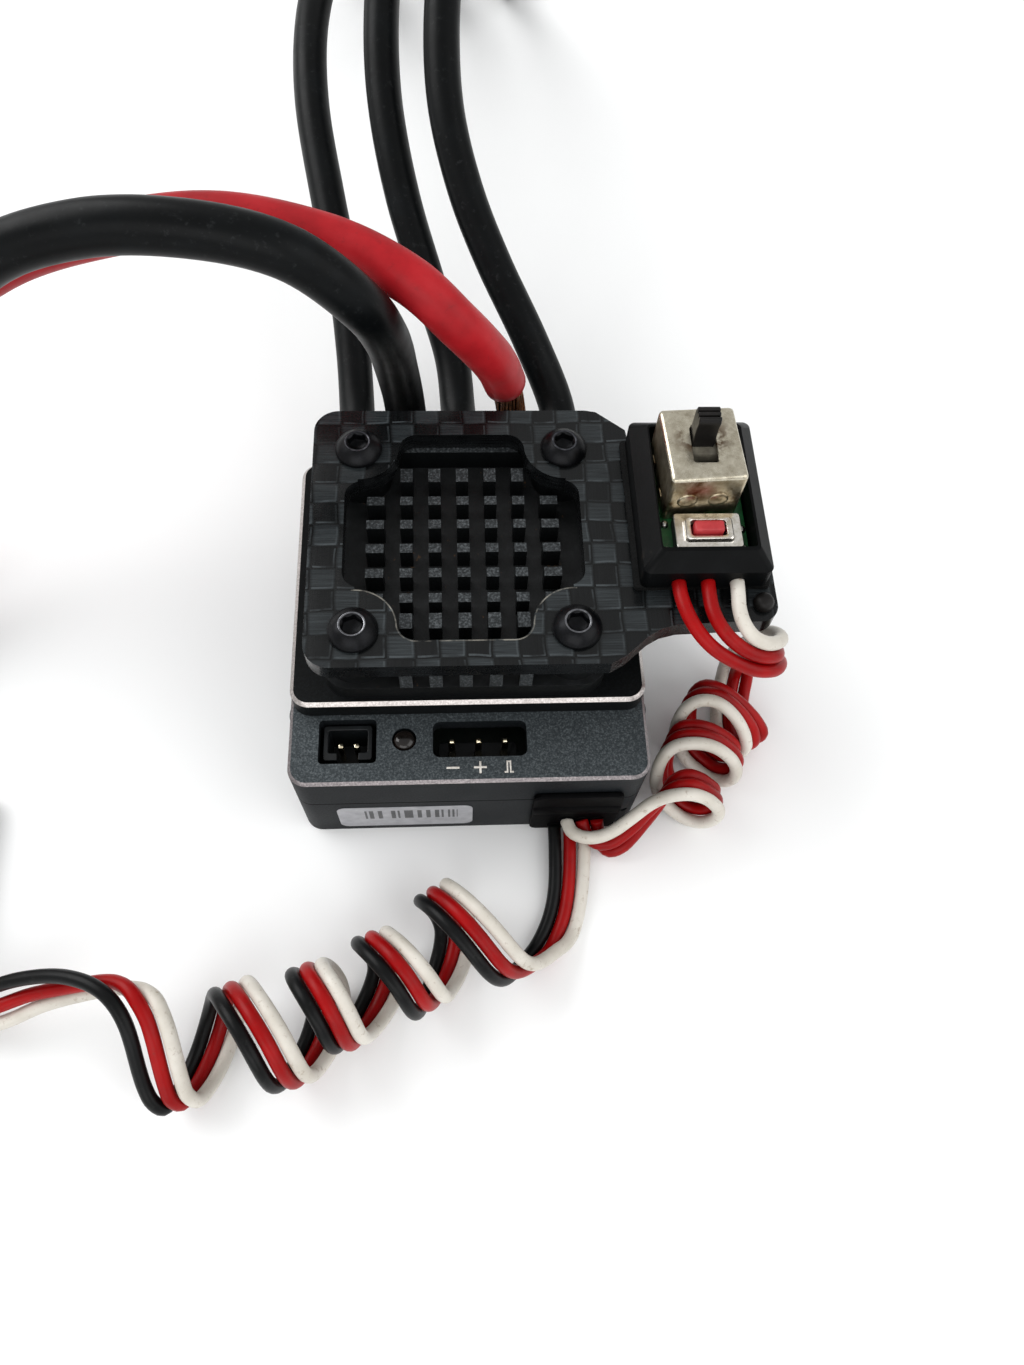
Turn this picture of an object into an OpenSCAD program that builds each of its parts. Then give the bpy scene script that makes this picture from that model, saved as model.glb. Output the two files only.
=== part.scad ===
// Brushless motor speed controller with a remote on/off switch on a carbon plate.
// Units mm, +Z up. Origin: centre of the underside of the case.
// +Y is the side where the motor and battery wires leave, -Y the socket side.

/* [Case] */
// Width of the case (X)
case_w = 34; // [30:0.5:40]
// Depth of the case (Y)
case_d = 35; // [31:0.5:44]
// Height of the socket deck above the underside
deck_h = 13.4; // [12.6:0.1:16]
// Height of the joint between lower and upper case
split_h = 8; // [7:0.1:8.4]
// Thickness of the case walls
wall_t = 1.6; // [1.2:0.1:2]
// Radius of the upright case corners
corner_r = 1.8; // [1:0.1:3]

/* [Heat sink] */
// Thickness of the heat sink flange above the deck
flange_t = 2.3; // [1.5:0.1:3]
// Height of the raised floor between flange and pins
foot_t = 2.1; // [1:0.1:3]
// Height of the cooling pins
pin_h = 2.5; // [1.5:0.1:5]
// Spacing of the cooling pins
pin_pitch = 2.73; // [2.5:0.01:2.9]
// Width of one cooling pin
pin_w = 1.2; // [0.8:0.05:1.5]

/* [Carbon plate] */
// Thickness of the carbon plate
plate_t = 2; // [1.5:0.1:2.5]
// Distance between the fan screw holes
fan_pitch = 20; // [19.6:0.1:20.4]
// Diameter of the fan screw heads
screw_head_d = 4.5; // [3.8:0.1:5]
// Diameter of the fan screws
screw_d = 2.5; // [2:0.1:2.6]

/* [Switch] */
// Travel of the slide lever
lever_travel = 2; // [1:0.1:2.1]
// Travel of the push button
button_travel = 0.25; // [0.1:0.05:0.3]

/* [Sockets] */
// Distance between the signal pins
pin_row_pitch = 2.54; // [2.5:0.01:2.54]
// Side of one signal pin
pin_row_side = 0.64; // [0.5:0.02:0.7]

/* [Wires] */
// Outer diameter of the motor wires
motor_wire_d = 4; // [3.5:0.1:4.5]
// Outer diameter of the battery wires
battery_wire_d = 4.5; // [4:0.1:5]
// Outer diameter of one thin lead wire
lead_wire_d = 1.35; // [1.1:0.05:1.5]
// Outer diameter of the curled receiver lead
receiver_curl_d = 10.6; // [9:0.1:11]
// Outer diameter of the curled switch lead
switch_curl_d = 7.4; // [6:0.1:8]

/* [Hidden] */
$fn = 40;
e = 0.01;
flange_z = deck_h + flange_t;
foot_z = flange_z + foot_t;
pin_z = foot_z + pin_h;
plate_z = pin_z + 0.1;
top_z = plate_z + plate_t;
sink_x = -0.3;
sink_y = 3.7;
hp = fan_pitch / 2;
screw_xy = [for (a = [-1, 1], b = [-1, 1]) [sink_x + a * hp, sink_y + b * hp]];
post_xy = [for (a = [-1, 1], y = [-10.2, case_d / 2 - 2.1]) [a * (case_w / 2 - 2.1), y]];
term_x = [-11.7, -6, -0.3, 5.4, 11.1];
term_z = 10.6;
sox = -11.5;
soy = -13.2;
hdx = 0.8;
hdy = -13.1;
ledx = -6.2;
ledy = -13.1;
arm_z = top_z;

// routes of the wires
motor_a_pts = [[-11.7, 23, 10.6], [-12, 29, 10], [-12.4, 35.5, 12], [-13.3, 43.5, 15.5], [-15.2, 53, 19], [-17, 64, 22.5], [-17.4, 74, 24.5], [-16.6, 84, 25], [-15.2, 94.5, 22], [-14.2, 103, 16], [-13.5, 111, 10.4], [-13, 118.5, 5.8], [-13, 125, 2.7], [-13, 129, 2.35], [-13, 132, 2.3]];
motor_b_pts = [[-0.3, 23, 10.6], [-0.5, 29.5, 10], [-1.2, 36, 12], [-3.8, 43, 16.5], [-6.5, 51, 21.5], [-8.2, 60, 26.5], [-8.4, 69, 30.5], [-7.5, 79, 32.5], [-5.8, 89, 30], [-4.2, 98, 23.5], [-3.2, 105.5, 16.2], [-2.6, 112.8, 9.8], [-2.2, 119.4, 5.3], [-2, 123.8, 3.1], [-2, 127, 2.35], [-2, 129.5, 2.3]];
motor_c_pts = [[11.1, 23, 10.6], [10.6, 28.5, 12], [7.6, 34.5, 16], [3.8, 41.5, 20], [0.8, 48, 24], [-1.2, 55, 28.5], [-1.6, 62.5, 32.5], [-0.8, 71, 35.5], [1.2, 81, 35.5], [3.6, 90.5, 31], [5.6, 98.5, 23.5], [7, 105.8, 16], [8, 112.8, 9.8], [8.7, 118.6, 5.4], [9, 122.2, 3.3], [9, 125, 2.35], [9, 127.5, 2.3]];
battery_n_pts = [[-6, 23, 10.6], [-6, 24.2, 10.8], [-6.4, 26.6, 14.6], [-6.9, 25.5, 21], [-7.4, 22.1, 28.7], [-9.2, 19.1, 35.8], [-14.5, 19, 41.2], [-22, 19.8, 42.8], [-31, 20.5, 42.2], [-40, 20.3, 39], [-48, 19, 32], [-53.2, 16.5, 22.5], [-57, 12.5, 12.5], [-59.4, 5.5, 4.8], [-60.2, -4, 2.6], [-60.2, -15, 2.5]];
battery_p_pts = [[4.4, 24.35, 20], [3.6, 23.5, 23], [2.4, 22.6, 26], [-0.5, 22.1, 30.4], [-5, 24, 33.9], [-12.2, 27.5, 35.2], [-22, 29.2, 36], [-32, 28, 35.6], [-42, 26, 33.5], [-51, 23.5, 28], [-58.8, 20.5, 19.5], [-64.2, 16, 10.5], [-67.6, 8.5, 4.2], [-68.7, -1, 2.6], [-68.7, -12, 2.5]];
strand_pts = [[5.4, 18.6, 10.6], [5.4, 22.2, 10.6], [5.4, 24, 12], [5.3, 24.7, 14], [5.1, 24.9, 16.2], [4.6, 24.5, 19]];
receiver_in_pts = [[10.2, -17.6, 1.5], [10.1, -20.6, 1.2], [9.8, -23.6, 1.4], [9.3, -26.2, 2.2]];
receiver_curl_pts = [[7, -28.8, 5.4], [-2, -31, 5.4], [-11, -35, 5.4], [-20, -38.3, 5.4], [-30, -39.6, 5.4], [-35, -38.5, 5.4]];
receiver_out_pts = [[-35.4, -36, 5], [-41, -33.6, 4.6], [-46.6, -34.8, 3], [-51, -33.6, 1.9], [-52.7, -30.4, 1.6], [-52.7, -27.8, 1.6]];
switch_in_pts = [[21.9, -2.8, 23.9], [22.4, -5.4, 23.9], [23.6, -8.2, 23.8]];
switch_curl_pts = [[26.8, -6.4, 16.6], [26.6, -4.9, 11], [26.4, -6.2, 6.2], [25.6, -9, 4.7], [24, -12.6, 4.4], [22.9, -16.8, 4.4]];
switch_out_pts = [[18, -18.6, 4.8], [15.4, -20.6, 3.4], [12.8, -20.8, 3], [11.3, -18.4, 3.2]];

// ---- helpers ----
module rbox(w, d, h, r) {
  rr = min(r, w / 2 - e, d / 2 - e);
  translate([-w / 2 + rr, -d / 2, 0]) cube([w - 2 * rr, d, h]);
  translate([-w / 2, -d / 2 + rr, 0]) cube([w, d - 2 * rr, h]);
  for (a = [-1, 1], b = [-1, 1]) translate([a * (w / 2 - rr), b * (d / 2 - rr), 0]) cylinder(r = rr, h = h);
}

// rounded box whose top edge has a chamfer c
module rbox_ch(w, d, h, r, c) {
  rbox(w, d, h - c, r);
  translate([-w / 2 + r, 0, 0]) rotate([90, 0, 90]) linear_extrude(w - 2 * r)
    polygon([[-d / 2, h - c], [d / 2, h - c], [d / 2 - c, h], [-d / 2 + c, h]]);
  translate([0, d / 2 - r, 0]) rotate([90, 0, 0]) linear_extrude(d - 2 * r)
    polygon([[-w / 2, h - c], [w / 2, h - c], [w / 2 - c, h], [-w / 2 + c, h]]);
  for (a = [-1, 1], b = [-1, 1]) translate([a * (w / 2 - r), b * (d / 2 - r), h - c]) cylinder(r1 = r, r2 = r - c, h = c);
}

function unit(v) = v / norm(v);
function tan_at(p, i) = unit(p[min(i + 1, len(p) - 1)] - p[max(i - 1, 0)]);
function carry(u, t) = unit(u - (u * t) * t);
function frames(p, u, i = 0) = i == len(p) ? [] :
  let (t = tan_at(p, i), n = carry(u, t)) concat([[n, cross(t, n)]], frames(p, n, i + 1));
function start_u(p) = let (t = tan_at(p, 0)) carry(abs(t[0]) < 0.7 ? [1, 0, 0] : [0, 0, 1], t);

module tube(p, r, n = 8) {
  f = frames(p, start_u(p));
  m = len(p);
  pts = [for (i = [0:m - 1]) for (k = [0:n - 1]) p[i] + r * cos(360 * k / n) * f[i][0] + r * sin(360 * k / n) * f[i][1]];
  sides = [for (i = [0:m - 2]) for (k = [0:n - 1]) for (s = [0, 1])
    let (a = i * n + k, b = i * n + (k + 1) % n, c = (i + 1) * n + (k + 1) % n, d = (i + 1) * n + k)
    s == 0 ? [a, c, b] : [a, d, c]];
  cap0 = [[for (k = [0:n - 1]) k]];
  cap1 = [[for (k = [0:n - 1]) (m - 1) * n + n - 1 - k]];
  polyhedron(points = pts, faces = concat(cap0, sides, cap1));
}

// ---- case ----
module lower_case() {
  color("#2A2E31") difference() {
    union() {
      difference() {
        rbox(case_w, case_d, split_h, corner_r);
        translate([0, 0, 1.6]) rbox(case_w - 2 * wall_t, case_d - 2 * wall_t, split_h, 0.8);
      }
      for (q = post_xy) translate([q[0], q[1], 1]) cylinder(d = 4.4, h = 5.3);
      for (a = [-1, 1]) translate([a * (case_w / 2 - wall_t - 0.6) - 0.8, -6, 1]) cube([1.6, 12, 5.3]);
    }
    for (q = post_xy) {
      translate([q[0], q[1], -1]) cylinder(d = 2.2, h = 10);
      translate([q[0], q[1], -e]) cylinder(d1 = 4, d2 = 2.2, h = 1.2);
    }
    translate([6.6, -case_d / 2 - 1, 1.6]) cube([7.8, 4, split_h]);
    translate([15.6, -case_d / 2 - 1, 4]) rotate([-90, 0, 0]) cylinder(d = 0.7, h = 2.4);
  }
}

module upper_case() {
  color("#3C4347") difference() {
    union() {
      difference() {
        translate([0, 0, split_h]) rbox_ch(case_w, case_d, deck_h - split_h, corner_r, 0.3);
        translate([0, 0, split_h - 1]) rbox(case_w - 2 * wall_t, case_d - 2 * wall_t, deck_h - split_h - 0.6, 0.8);
        translate([-case_w / 2 + wall_t, -9.6, split_h - 1]) cube([case_w - 2 * wall_t, case_d / 2 - wall_t + 9.6, 10]);
      }
      for (q = post_xy) translate([q[0], q[1], split_h]) cylinder(d = 4.4, h = deck_h - split_h - 0.4);
    }
    for (q = post_xy) translate([q[0], q[1], split_h - 1]) cylinder(d = 2.1, h = 4.4);
    translate([sox, soy, split_h]) rbox(5.4, 4.4, 10, 0.4);
    translate([hdx + 0.13, soy + 0.02, split_h]) rbox(8.9, 3.6, 10, 0.7);
    translate([ledx, ledy, split_h]) cylinder(d = 2.3, h = 10);
    translate([6.6, -case_d / 2 - 1, split_h - 1]) cube([7.8, 4, 2.4]);
    for (x = term_x) translate([x, case_d / 2 - 4, term_z]) rotate([-90, 0, 0]) cylinder(d = 4.2, h = 6);
  }
}

module heat_sink() {
  color("#15191B") difference() {
    union() {
      translate([0, 3.45, deck_h]) rbox_ch(case_w - 0.4, 27.9, flange_t, 1.8, 0.35);
      translate([sink_x, sink_y - 0.9, deck_h - 1]) rbox(25, 20, 1.2, 1);
      translate([sink_x, sink_y - 0.1, flange_z - 0.5]) rbox(26.4, 26.8, foot_t + 0.5, 2.6);
      for (q = screw_xy) translate([q[0], q[1], foot_z - 0.2]) cylinder(d = 6, h = pin_h + 0.3);
      for (i = [-2:2], j = [-3:3]) translate([sink_x + i * pin_pitch - pin_w / 2, sink_y + j * pin_pitch - 0.5, foot_z - 0.2]) cube([pin_w, abs(j) == 3 ? 1.6 : 1, pin_h + 0.2]);
      for (a = [-1, 1], j = [-2:2]) translate([sink_x + a * (3 * pin_pitch + 0.25) - 0.85, sink_y + j * pin_pitch - 0.5, foot_z - 0.2]) cube([1.7, 1, pin_h + 0.2]);
      for (i = [-2:2]) translate([sink_x + i * pin_pitch - pin_w / 2, sink_y - 13.5, foot_z - 0.2]) cube([pin_w, 3.4, pin_h + 0.2]);
      translate([sink_x - 10, sink_y + 11.3, foot_z - 0.2]) cube([20, 1.8, pin_h + 0.2]);
    }
    for (q = screw_xy) translate([q[0], q[1], flange_z]) cylinder(d = screw_d + 0.1, h = 20);
  }
}

// ---- carbon plate ----
module plate_opening() {
  bw = 6.1;
  bh = 5.9;
  rbox(2 * bw, 22.8, 10, 1.7);
  rbox(22.4, 2 * bh, 10, 1.7);
  for (a = [-1, 1], b = [-1, 1]) scale([a, b, 1]) difference() {
    translate([bw - 0.3, bh - 0.3, 0]) cube([hp - bw + 0.3, hp - bh + 0.3, 10]);
    translate([hp, hp, -1]) cylinder(r = hp - bw, h = 12);
  }
}

module carbon_plate() {
  color("#3A3D3F") difference() {
    union() {
      translate([sink_x + 0.1, 4.3, plate_z]) rbox(29, 28.4, plate_t, 2.4);
      translate([0, 0, plate_z]) linear_extrude(plate_t) polygon([[10, -9.9], [12.6, -9.9], [13.9, -9.2], [16.2, -7.2], [17.4, -6.5], [19, -6.1], [24, -5.9], [24, 14.2], [16.2, 14.2], [16, 16], [13.2, 18.3], [12, 18.5], [10, 18.5]]);
      translate([22.4, 4.15, plate_z]) rbox(12, 20.1, plate_t, 1.8);
    }
    translate([sink_x, 4.1, plate_z - 1]) plate_opening();
    for (q = screw_xy) translate([q[0], q[1], plate_z - 1]) cylinder(d = screw_d + 0.3, h = 10);
    translate([27, -4.1, plate_z - 1]) cylinder(d = 1.3, h = 10);
  }
}

module plate_screws() {
  color("#1B1C1E") for (q = screw_xy) translate([q[0], q[1], 0]) difference() {
    union() {
      translate([0, 0, flange_z + 0.4]) cylinder(d = screw_d, h = top_z - flange_z);
      translate([0, 0, top_z]) rotate_extrude() polygon([[0, 0], [screw_head_d / 2, 0], [screw_head_d / 2, 0.25], [screw_head_d / 2 - 0.3, 0.8], [screw_head_d / 2 - 0.8, 1.2], [screw_head_d / 2 - 1.1, 1.35], [0, 1.35]]);
    }
    translate([0, 0, top_z + 0.45]) cylinder(d = 1.75, h = 3, $fn = 6);
  }
}

module arm_peg() {
  color("#141516") translate([27, -4.1, 0]) {
    translate([0, 0, plate_z - 0.3]) cylinder(d = 1.2, h = plate_t + 0.4);
    translate([0, 0, top_z]) rotate_extrude() polygon([[0, 0], [0.95, 0], [0.9, 0.6], [0.6, 0.95], [0, 1.1]]);
    translate([0, 0, plate_z - 0.9]) cylinder(d = 1.8, h = 0.8);
  }
}

module case_screws() {
  color("#55585B") for (q = post_xy) translate([q[0], q[1], 0]) difference() {
    union() {
      cylinder(d1 = 3.8, d2 = 2, h = 1.1);
      translate([0, 0, 1]) cylinder(d = 2, h = 9.8);
    }
    for (a = [0, 90]) rotate([0, 0, a]) translate([-1.1, -0.2, -e]) cube([2.2, 0.4, 0.6]);
  }
}

// ---- boards ----
module control_board() {
  color("#1F4A34") difference() {
    translate([0, 0, 6.4]) rbox(case_w - 2 * wall_t - 0.6, case_d - 2 * wall_t - 0.6, 1, 0.5);
    for (q = post_xy) translate([q[0] + (q[0] > 0 ? -1.5 : -3), q[1] - 1.8, 5]) cube([4.5, 3.6, 5]);
    for (i = [-1:1]) translate([hdx + i * pin_row_pitch, hdy, 0]) cylinder(d = 1, h = 20);
    translate([6.2, -case_d / 2, 5]) cube([8.6, 4.2, 5]);
  }
}

module power_board() {
  color("#1F4A34") difference() {
    translate([-14.6, -9.2, 9.2]) cube([29.2, 24.4, 1.2]);
    for (q = post_xy) translate([q[0], q[1], 5]) cylinder(d = 5, h = 10);
    for (x = term_x) translate([x - 2, 12.2, 8]) cube([4, 6, 5]);
  }
}

module board_link() {
  color("#16171A") for (y = [-7.6, 9.4]) translate([-5.1, y, 7.4]) cube([10.2, 1.8, 1.8]);
}

module mosfets() {
  color("#202124") for (i = [-2:2], j = [0:2]) translate([i * 5.6 - 2.5, -7.6 + j * 6.4, 10.4]) cube([5, 5.4, 0.9]);
}

module thermal_pad() {
  color("#7D8FA6") translate([-13.2, -8, 11.35]) cube([26.4, 19, 0.95]);
}

module microcontroller() {
  color("#1A1B1D") translate([-8.5, -3.5, 7.4]) cube([7, 7, 0.9]);
}

module bec_inductor() {
  color("#3A3B3E") translate([6.3, 1, 7.4]) {
    rbox(5.4, 5.4, 1.6, 0.6);
  }
}

module ceramic_caps() {
  color("#B59B7A") {
    for (i = [0:4]) translate([1.2, -5.4 + i * 2.6, 7.4]) cube([1.2, 2, 0.9]);
    for (i = [0:3]) translate([-13.4, -7 + i * 3.2, 7.4]) cube([2, 1.2, 1]);
  }
}

// ---- sockets ----
module fan_socket_shell() {
  color("#0F1011") translate([sox - 0.05, soy + 0.2, 7.4]) difference() {
    rbox(4.6, 3.5, 5.2, 0.3);
    translate([0, 0.15, 1]) rbox(3.7, 2.3, 6, 0.2);
    translate([-1, -2.2, 2.6]) cube([2, 1.5, 4]);
  }
}

module fan_socket_pins() {
  color("#C9A24A") for (a = [-0.75, 0.75]) translate([sox + a - 0.3, soy - 0.1, 8.4]) cube([0.5, 0.5, 3.6]);
}

module header_base() {
  color("#101112") difference() {
    translate([hdx, hdy, 7.4]) rbox(7.7, 2.5, 1.8, 0.3);
    for (i = [-1:1]) translate([hdx + i * pin_row_pitch - 0.35, hdy - 0.35, 7]) cube([0.7, 0.7, 3]);
  }
}

module header_pins() {
  color("#D9C27A") for (i = [-1:1]) translate([hdx + i * pin_row_pitch, hdy, 0]) {
    translate([-pin_row_side / 2, -pin_row_side / 2, 5.2]) cube([pin_row_side, pin_row_side, 7.6]);
  }
}

module status_led() {
  color("#23282B") translate([ledx, ledy, 0]) {
    translate([0, 0, 7.4]) cylinder(d = 2.1, h = 5.5);
    translate([0, 0, 12.9]) rotate_extrude() polygon([[0, 0], [1.05, 0], [0.95, 0.35], [0.6, 0.65], [0, 0.8]]);
  }
}

module port_marks() {
  color("#D8D8D8") translate([0, -16.05, deck_h]) {
    translate([-2.25, -0.1, 0]) cube([1.2, 0.2, 0.05]);
    translate([0.3, -0.1, 0]) cube([1.2, 0.2, 0.05]);
    translate([0.8, -0.6, 0]) cube([0.2, 1.2, 0.05]);
    translate([3.15, -0.6, 0]) cube([0.35, 0.16, 0.05]);
    translate([3.35, -0.6, 0]) cube([0.15, 1.2, 0.05]);
    translate([3.35, 0.44, 0]) cube([0.45, 0.16, 0.05]);
    translate([3.65, -0.6, 0]) cube([0.15, 1.2, 0.05]);
    translate([3.65, -0.6, 0]) cube([0.35, 0.16, 0.05]);
  }
}

module label() {
  color("#A8A8AC") translate([-6.5, -case_d / 2, 3.9]) rotate([90, 0, 0]) rbox(13.4, 5.6, 0.1, 0.9);
}

module cable_grommet() {
  color("#0C0D0E") difference() {
    union() {
      translate([6.8, -17.65, 1.8]) cube([7.4, 1.7, 7.5]);
      translate([6.1, -18.3, 5.2]) cube([8.8, 0.75, 2]);
      translate([6.1, -18.1, 7.2]) cube([8.8, 0.55, 2.7]);
      translate([6.1, -18.1, 0.4]) cube([8.8, 0.55, 4.8]);
      translate([6.2, -15.8, 1.75]) cube([8.6, 0.8, 4.5]);
      translate([6.8, -16, 1.8]) cube([7.4, 0.5, 4.4]);
    }
    for (i = [-1:1]) {
      translate([10.2 + i * (lead_wire_d + 0.2), -19, 1.5]) rotate([-90, 0, 0]) cylinder(d = lead_wire_d + 0.06, h = 1.5);
      translate([11.3 + i * (lead_wire_d + 0.2), -19, 3.2]) rotate([-90, 0, 0]) cylinder(d = lead_wire_d + 0.06, h = 6);
    }
  }
}

// ---- power terminals ----
module solder_posts() {
  color("#B8A07A") for (x = term_x) translate([x, 0, term_z]) rotate([-90, 0, 0]) difference() {
    union() {
      translate([0, 0, 12.4]) cylinder(d = 3.6, h = 6);
      translate([0, 0, case_d / 2 + 0.1]) cylinder(d = 4.8, h = 4.4);
    }
    translate([0, 0, 18.4]) cylinder(d = 3.5, h = 6);
  }
}

module wire_strands() {
  color("#B87346") {
    for (x = [term_x[0], term_x[1], term_x[2], term_x[4]]) translate([x, 18.5, term_z]) rotate([-90, 0, 0]) cylinder(d = 3, h = 3.7);
    tube(strand_pts, 1.45, 8);
  }
}

module solder_joints() {
  color("#A9ACB0") for (x = term_x, a = [-1, 1]) if (abs(x + a * 2.35) < 13) translate([x + a * 2.35 - 0.45, 12.6, 10.4]) cube([0.9, 2.2, 0.7]);
}

// ---- power wires and plugs ----
module motor_wire_a() { color("#1A1B1C") tube(motor_a_pts, motor_wire_d / 2, 10); }
module motor_wire_b() { color("#1A1B1C") tube(motor_b_pts, motor_wire_d / 2, 10); }
module motor_wire_c() { color("#1A1B1C") tube(motor_c_pts, motor_wire_d / 2, 10); }
module battery_wire_negative() { color("#1A1B1C") tube(battery_n_pts, battery_wire_d / 2, 10); }
module battery_wire_positive() { color("#B5282E") tube(battery_p_pts, battery_wire_d / 2, 10); }

module bullet_sleeve(d) {
  difference() {
    cylinder(d = d, h = 13);
    translate([0, 0, 5]) cylinder(d = 3.3, h = 10);
  }
}
module bullet_pin() {
  cylinder(d = 3.2, h = 8.1);
  translate([0, 0, 8]) cylinder(d = 4.0, h = 6.4);
  translate([0, 0, 14.4]) cylinder(d1 = 4.0, d2 = 2.4, h = 1);
}
module motor_plug_pins() {
  color("#D1A94E") for (q = [[-13, 137.2], [-2, 134.7], [9, 132.7]]) translate([q[0], q[1] + 0.1, 2.6]) rotate([-90, 0, 0]) bullet_pin();
}
module motor_plug_sleeves() {
  color("#17181A") for (q = [[-13, 132.1], [-2, 129.6], [9, 127.6]]) translate([q[0], q[1], 2.6]) rotate([-90, 0, 0]) bullet_sleeve(5);
}
module battery_plug_pins() {
  color("#D1A94E") for (q = [[-60.2, -20.4], [-68.7, -17.4]]) translate([q[0], q[1], 2.7]) rotate([90, 0, 0]) bullet_pin();
}
module battery_plug_sleeves() {
  color("#A3262B") for (q = [[-60.2, -15.1], [-68.7, -12.1]]) translate([q[0], q[1], 2.7]) rotate([90, 0, 0]) bullet_sleeve(5.2);
}

// ---- thin leads ----
module receiver_lead() {
  color("#B01A22") tube(receiver_curl_pts, receiver_curl_d / 2, 12);
}
module receiver_lead_ends() {
  color("#B01A22") for (i = [-1:1]) translate([i * (lead_wire_d + 0.2), 0, 0]) tube(receiver_in_pts, lead_wire_d / 2, 8);
}
module receiver_lead_tail() {
  color("#D8D4CC") tube(receiver_out_pts, 1.6, 8);
}
module receiver_plug() {
  color("#101112") translate([-52.7, -27.6, 0.1]) rotate([0, 0, 90]) difference() {
    translate([0, -3.85, 0]) cube([14, 7.7, 2.7]);
    for (i = [-1:1]) translate([7, i * 2.54 - 0.5, 0.85]) cube([8, 1, 1]);
  }
}
module receiver_contacts() {
  color("#C9A24A") translate([-52.7, -27.6, 0.1]) rotate([0, 0, 90])
    for (i = [-1:1]) translate([7.1, i * 2.54 - 0.4, 0.95]) cube([5.6, 0.8, 0.8]);
}
module switch_lead() {
  color("#B01A22") tube(switch_curl_pts, switch_curl_d / 2, 12);
}
module switch_lead_top() {
  color("#B01A22") tube(switch_in_pts, 1.3, 8);
}
module switch_lead_foot() {
  color("#B01A22") tube(switch_out_pts, 0.95, 8);
}

// ---- switch module ----
module foam_tape() {
  color("#2B2B2A") translate([21.5, 5.85, arm_z]) rbox(12.6, 16.8, 0.6, 0.3);
}

module switch_housing() {
  color("#15191C") difference() {
    union() {
      translate([21.6, 5.9, arm_z + 0.65]) rbox(11.8, 17, 2.4, 0.7);
      hull() {
        translate([21.6, 5.9, arm_z + 3]) rbox(11.8, 17, 0.05, 0.7);
        translate([21.7, 6.05, arm_z + 4.3]) rbox(9, 14.2, 0.05, 0.5);
      }
    }
    translate([21.65, 6.1, arm_z + 1.25]) rbox(8.6, 13.5, 10, 0.3);
    for (i = [-1:1]) translate([21.8 + i * 2.7, 0, arm_z + 1.35]) {
      rotate([90, 0, 0]) cylinder(d = lead_wire_d + 0.15, h = 4);
      translate([-lead_wire_d / 2 - 0.075, -4, -2]) cube([lead_wire_d + 0.15, 4, 2]);
    }
  }
}

module switch_board() {
  color("#1E6B3C") translate([21.65, 6.1, arm_z + 1.35]) rbox(8.3, 13.2, 0.8, 0.2);
}

module slide_switch_base() {
  color("#6B4A2E") translate([21.25, 8, arm_z + 2.15]) rbox(5.9, 7, 1, 0.2);
}

module slide_switch_can() {
  color("#B5B0A0") difference() {
    translate([21.25, 8, arm_z + 2.2]) rotate([0, 0, 3]) rbox(6.95, 8, 5.8, 0.4);
    translate([21.25, 8, arm_z + 2]) rotate([0, 0, 3]) rbox(6.35, 7.4, 5.7, 0.2);
    translate([20.1, 5.8, arm_z + 7]) cube([2.35, 4.2, 3]);
  }
}

module slide_switch_contacts() {
  color("#C4B48A") for (x = [-1, 1], y = [-2.4:2.4:2.4]) translate([21.25 + x * 1.9 - 0.3, 8 + y - 0.4, arm_z + 3.15]) cube([0.6, 0.8, 1.05]);
}

module switch_lever() {
  color("#141414") {
    translate([18.98, 7.1, arm_z + 4.4]) cube([4.6, 4.2, 3]);
    translate([20.28, 8, arm_z + 7.2]) cube([2, 1.75, 3.55]);
    for (i = [0:2]) translate([20.28, 8 + i * 0.7, arm_z + 10.75]) cube([2, 0.35, 0.25]);
  }
}

module tact_base() {
  color("#17181A") difference() {
    translate([21.87, 1.65, arm_z + 2.15]) rbox(6.1, 3.65, 1.2, 0.2);
    translate([21.85, 1.6, arm_z + 2.75]) rbox(4, 2.4, 3, 0.2);
  }
}

module tact_dome() {
  color("#C8CACC") translate([21.85, 1.6, arm_z + 2.75]) cylinder(d1 = 2.3, d2 = 1.4, h = 0.25);
}

module tact_cover() {
  color("#C3C3BE") difference() {
    union() {
      translate([21.87, 1.65, arm_z + 3.35]) rbox(6.1, 3.65, 0.25, 0.2);
      translate([21.85, 1.55, arm_z + 3.5]) rbox(4.4, 2.45, 0.6, 0.2);
    }
    translate([21.8, 1.6, arm_z + 3]) rbox(3.2, 1.6, 3, 0.1);
  }
}

module tact_button() {
  color("#B03035") {
    translate([21.8, 1.6, arm_z + 3.3]) rbox(2.75, 1.15, 1.2, 0.2);
  }
}

lower_case();
upper_case();
heat_sink();
carbon_plate();
plate_screws();
arm_peg();
case_screws();
control_board();
power_board();
board_link();
mosfets();
thermal_pad();
microcontroller();
bec_inductor();
ceramic_caps();
fan_socket_shell();
fan_socket_pins();
header_base();
header_pins();
status_led();
port_marks();
label();
cable_grommet();
solder_posts();
wire_strands();
solder_joints();
motor_wire_a();
motor_wire_b();
motor_wire_c();
battery_wire_negative();
battery_wire_positive();
motor_plug_pins();
motor_plug_sleeves();
battery_plug_pins();
battery_plug_sleeves();
receiver_lead();
receiver_lead_ends();
receiver_lead_tail();
receiver_plug();
receiver_contacts();
switch_lead();
switch_lead_top();
switch_lead_foot();
foam_tape();
switch_housing();
switch_board();
slide_switch_base();
slide_switch_can();
slide_switch_contacts();
switch_lever();
tact_base();
tact_dome();
tact_cover();
tact_button();
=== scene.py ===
import bpy, bmesh, math, random
from mathutils import Vector, Matrix, noise


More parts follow.
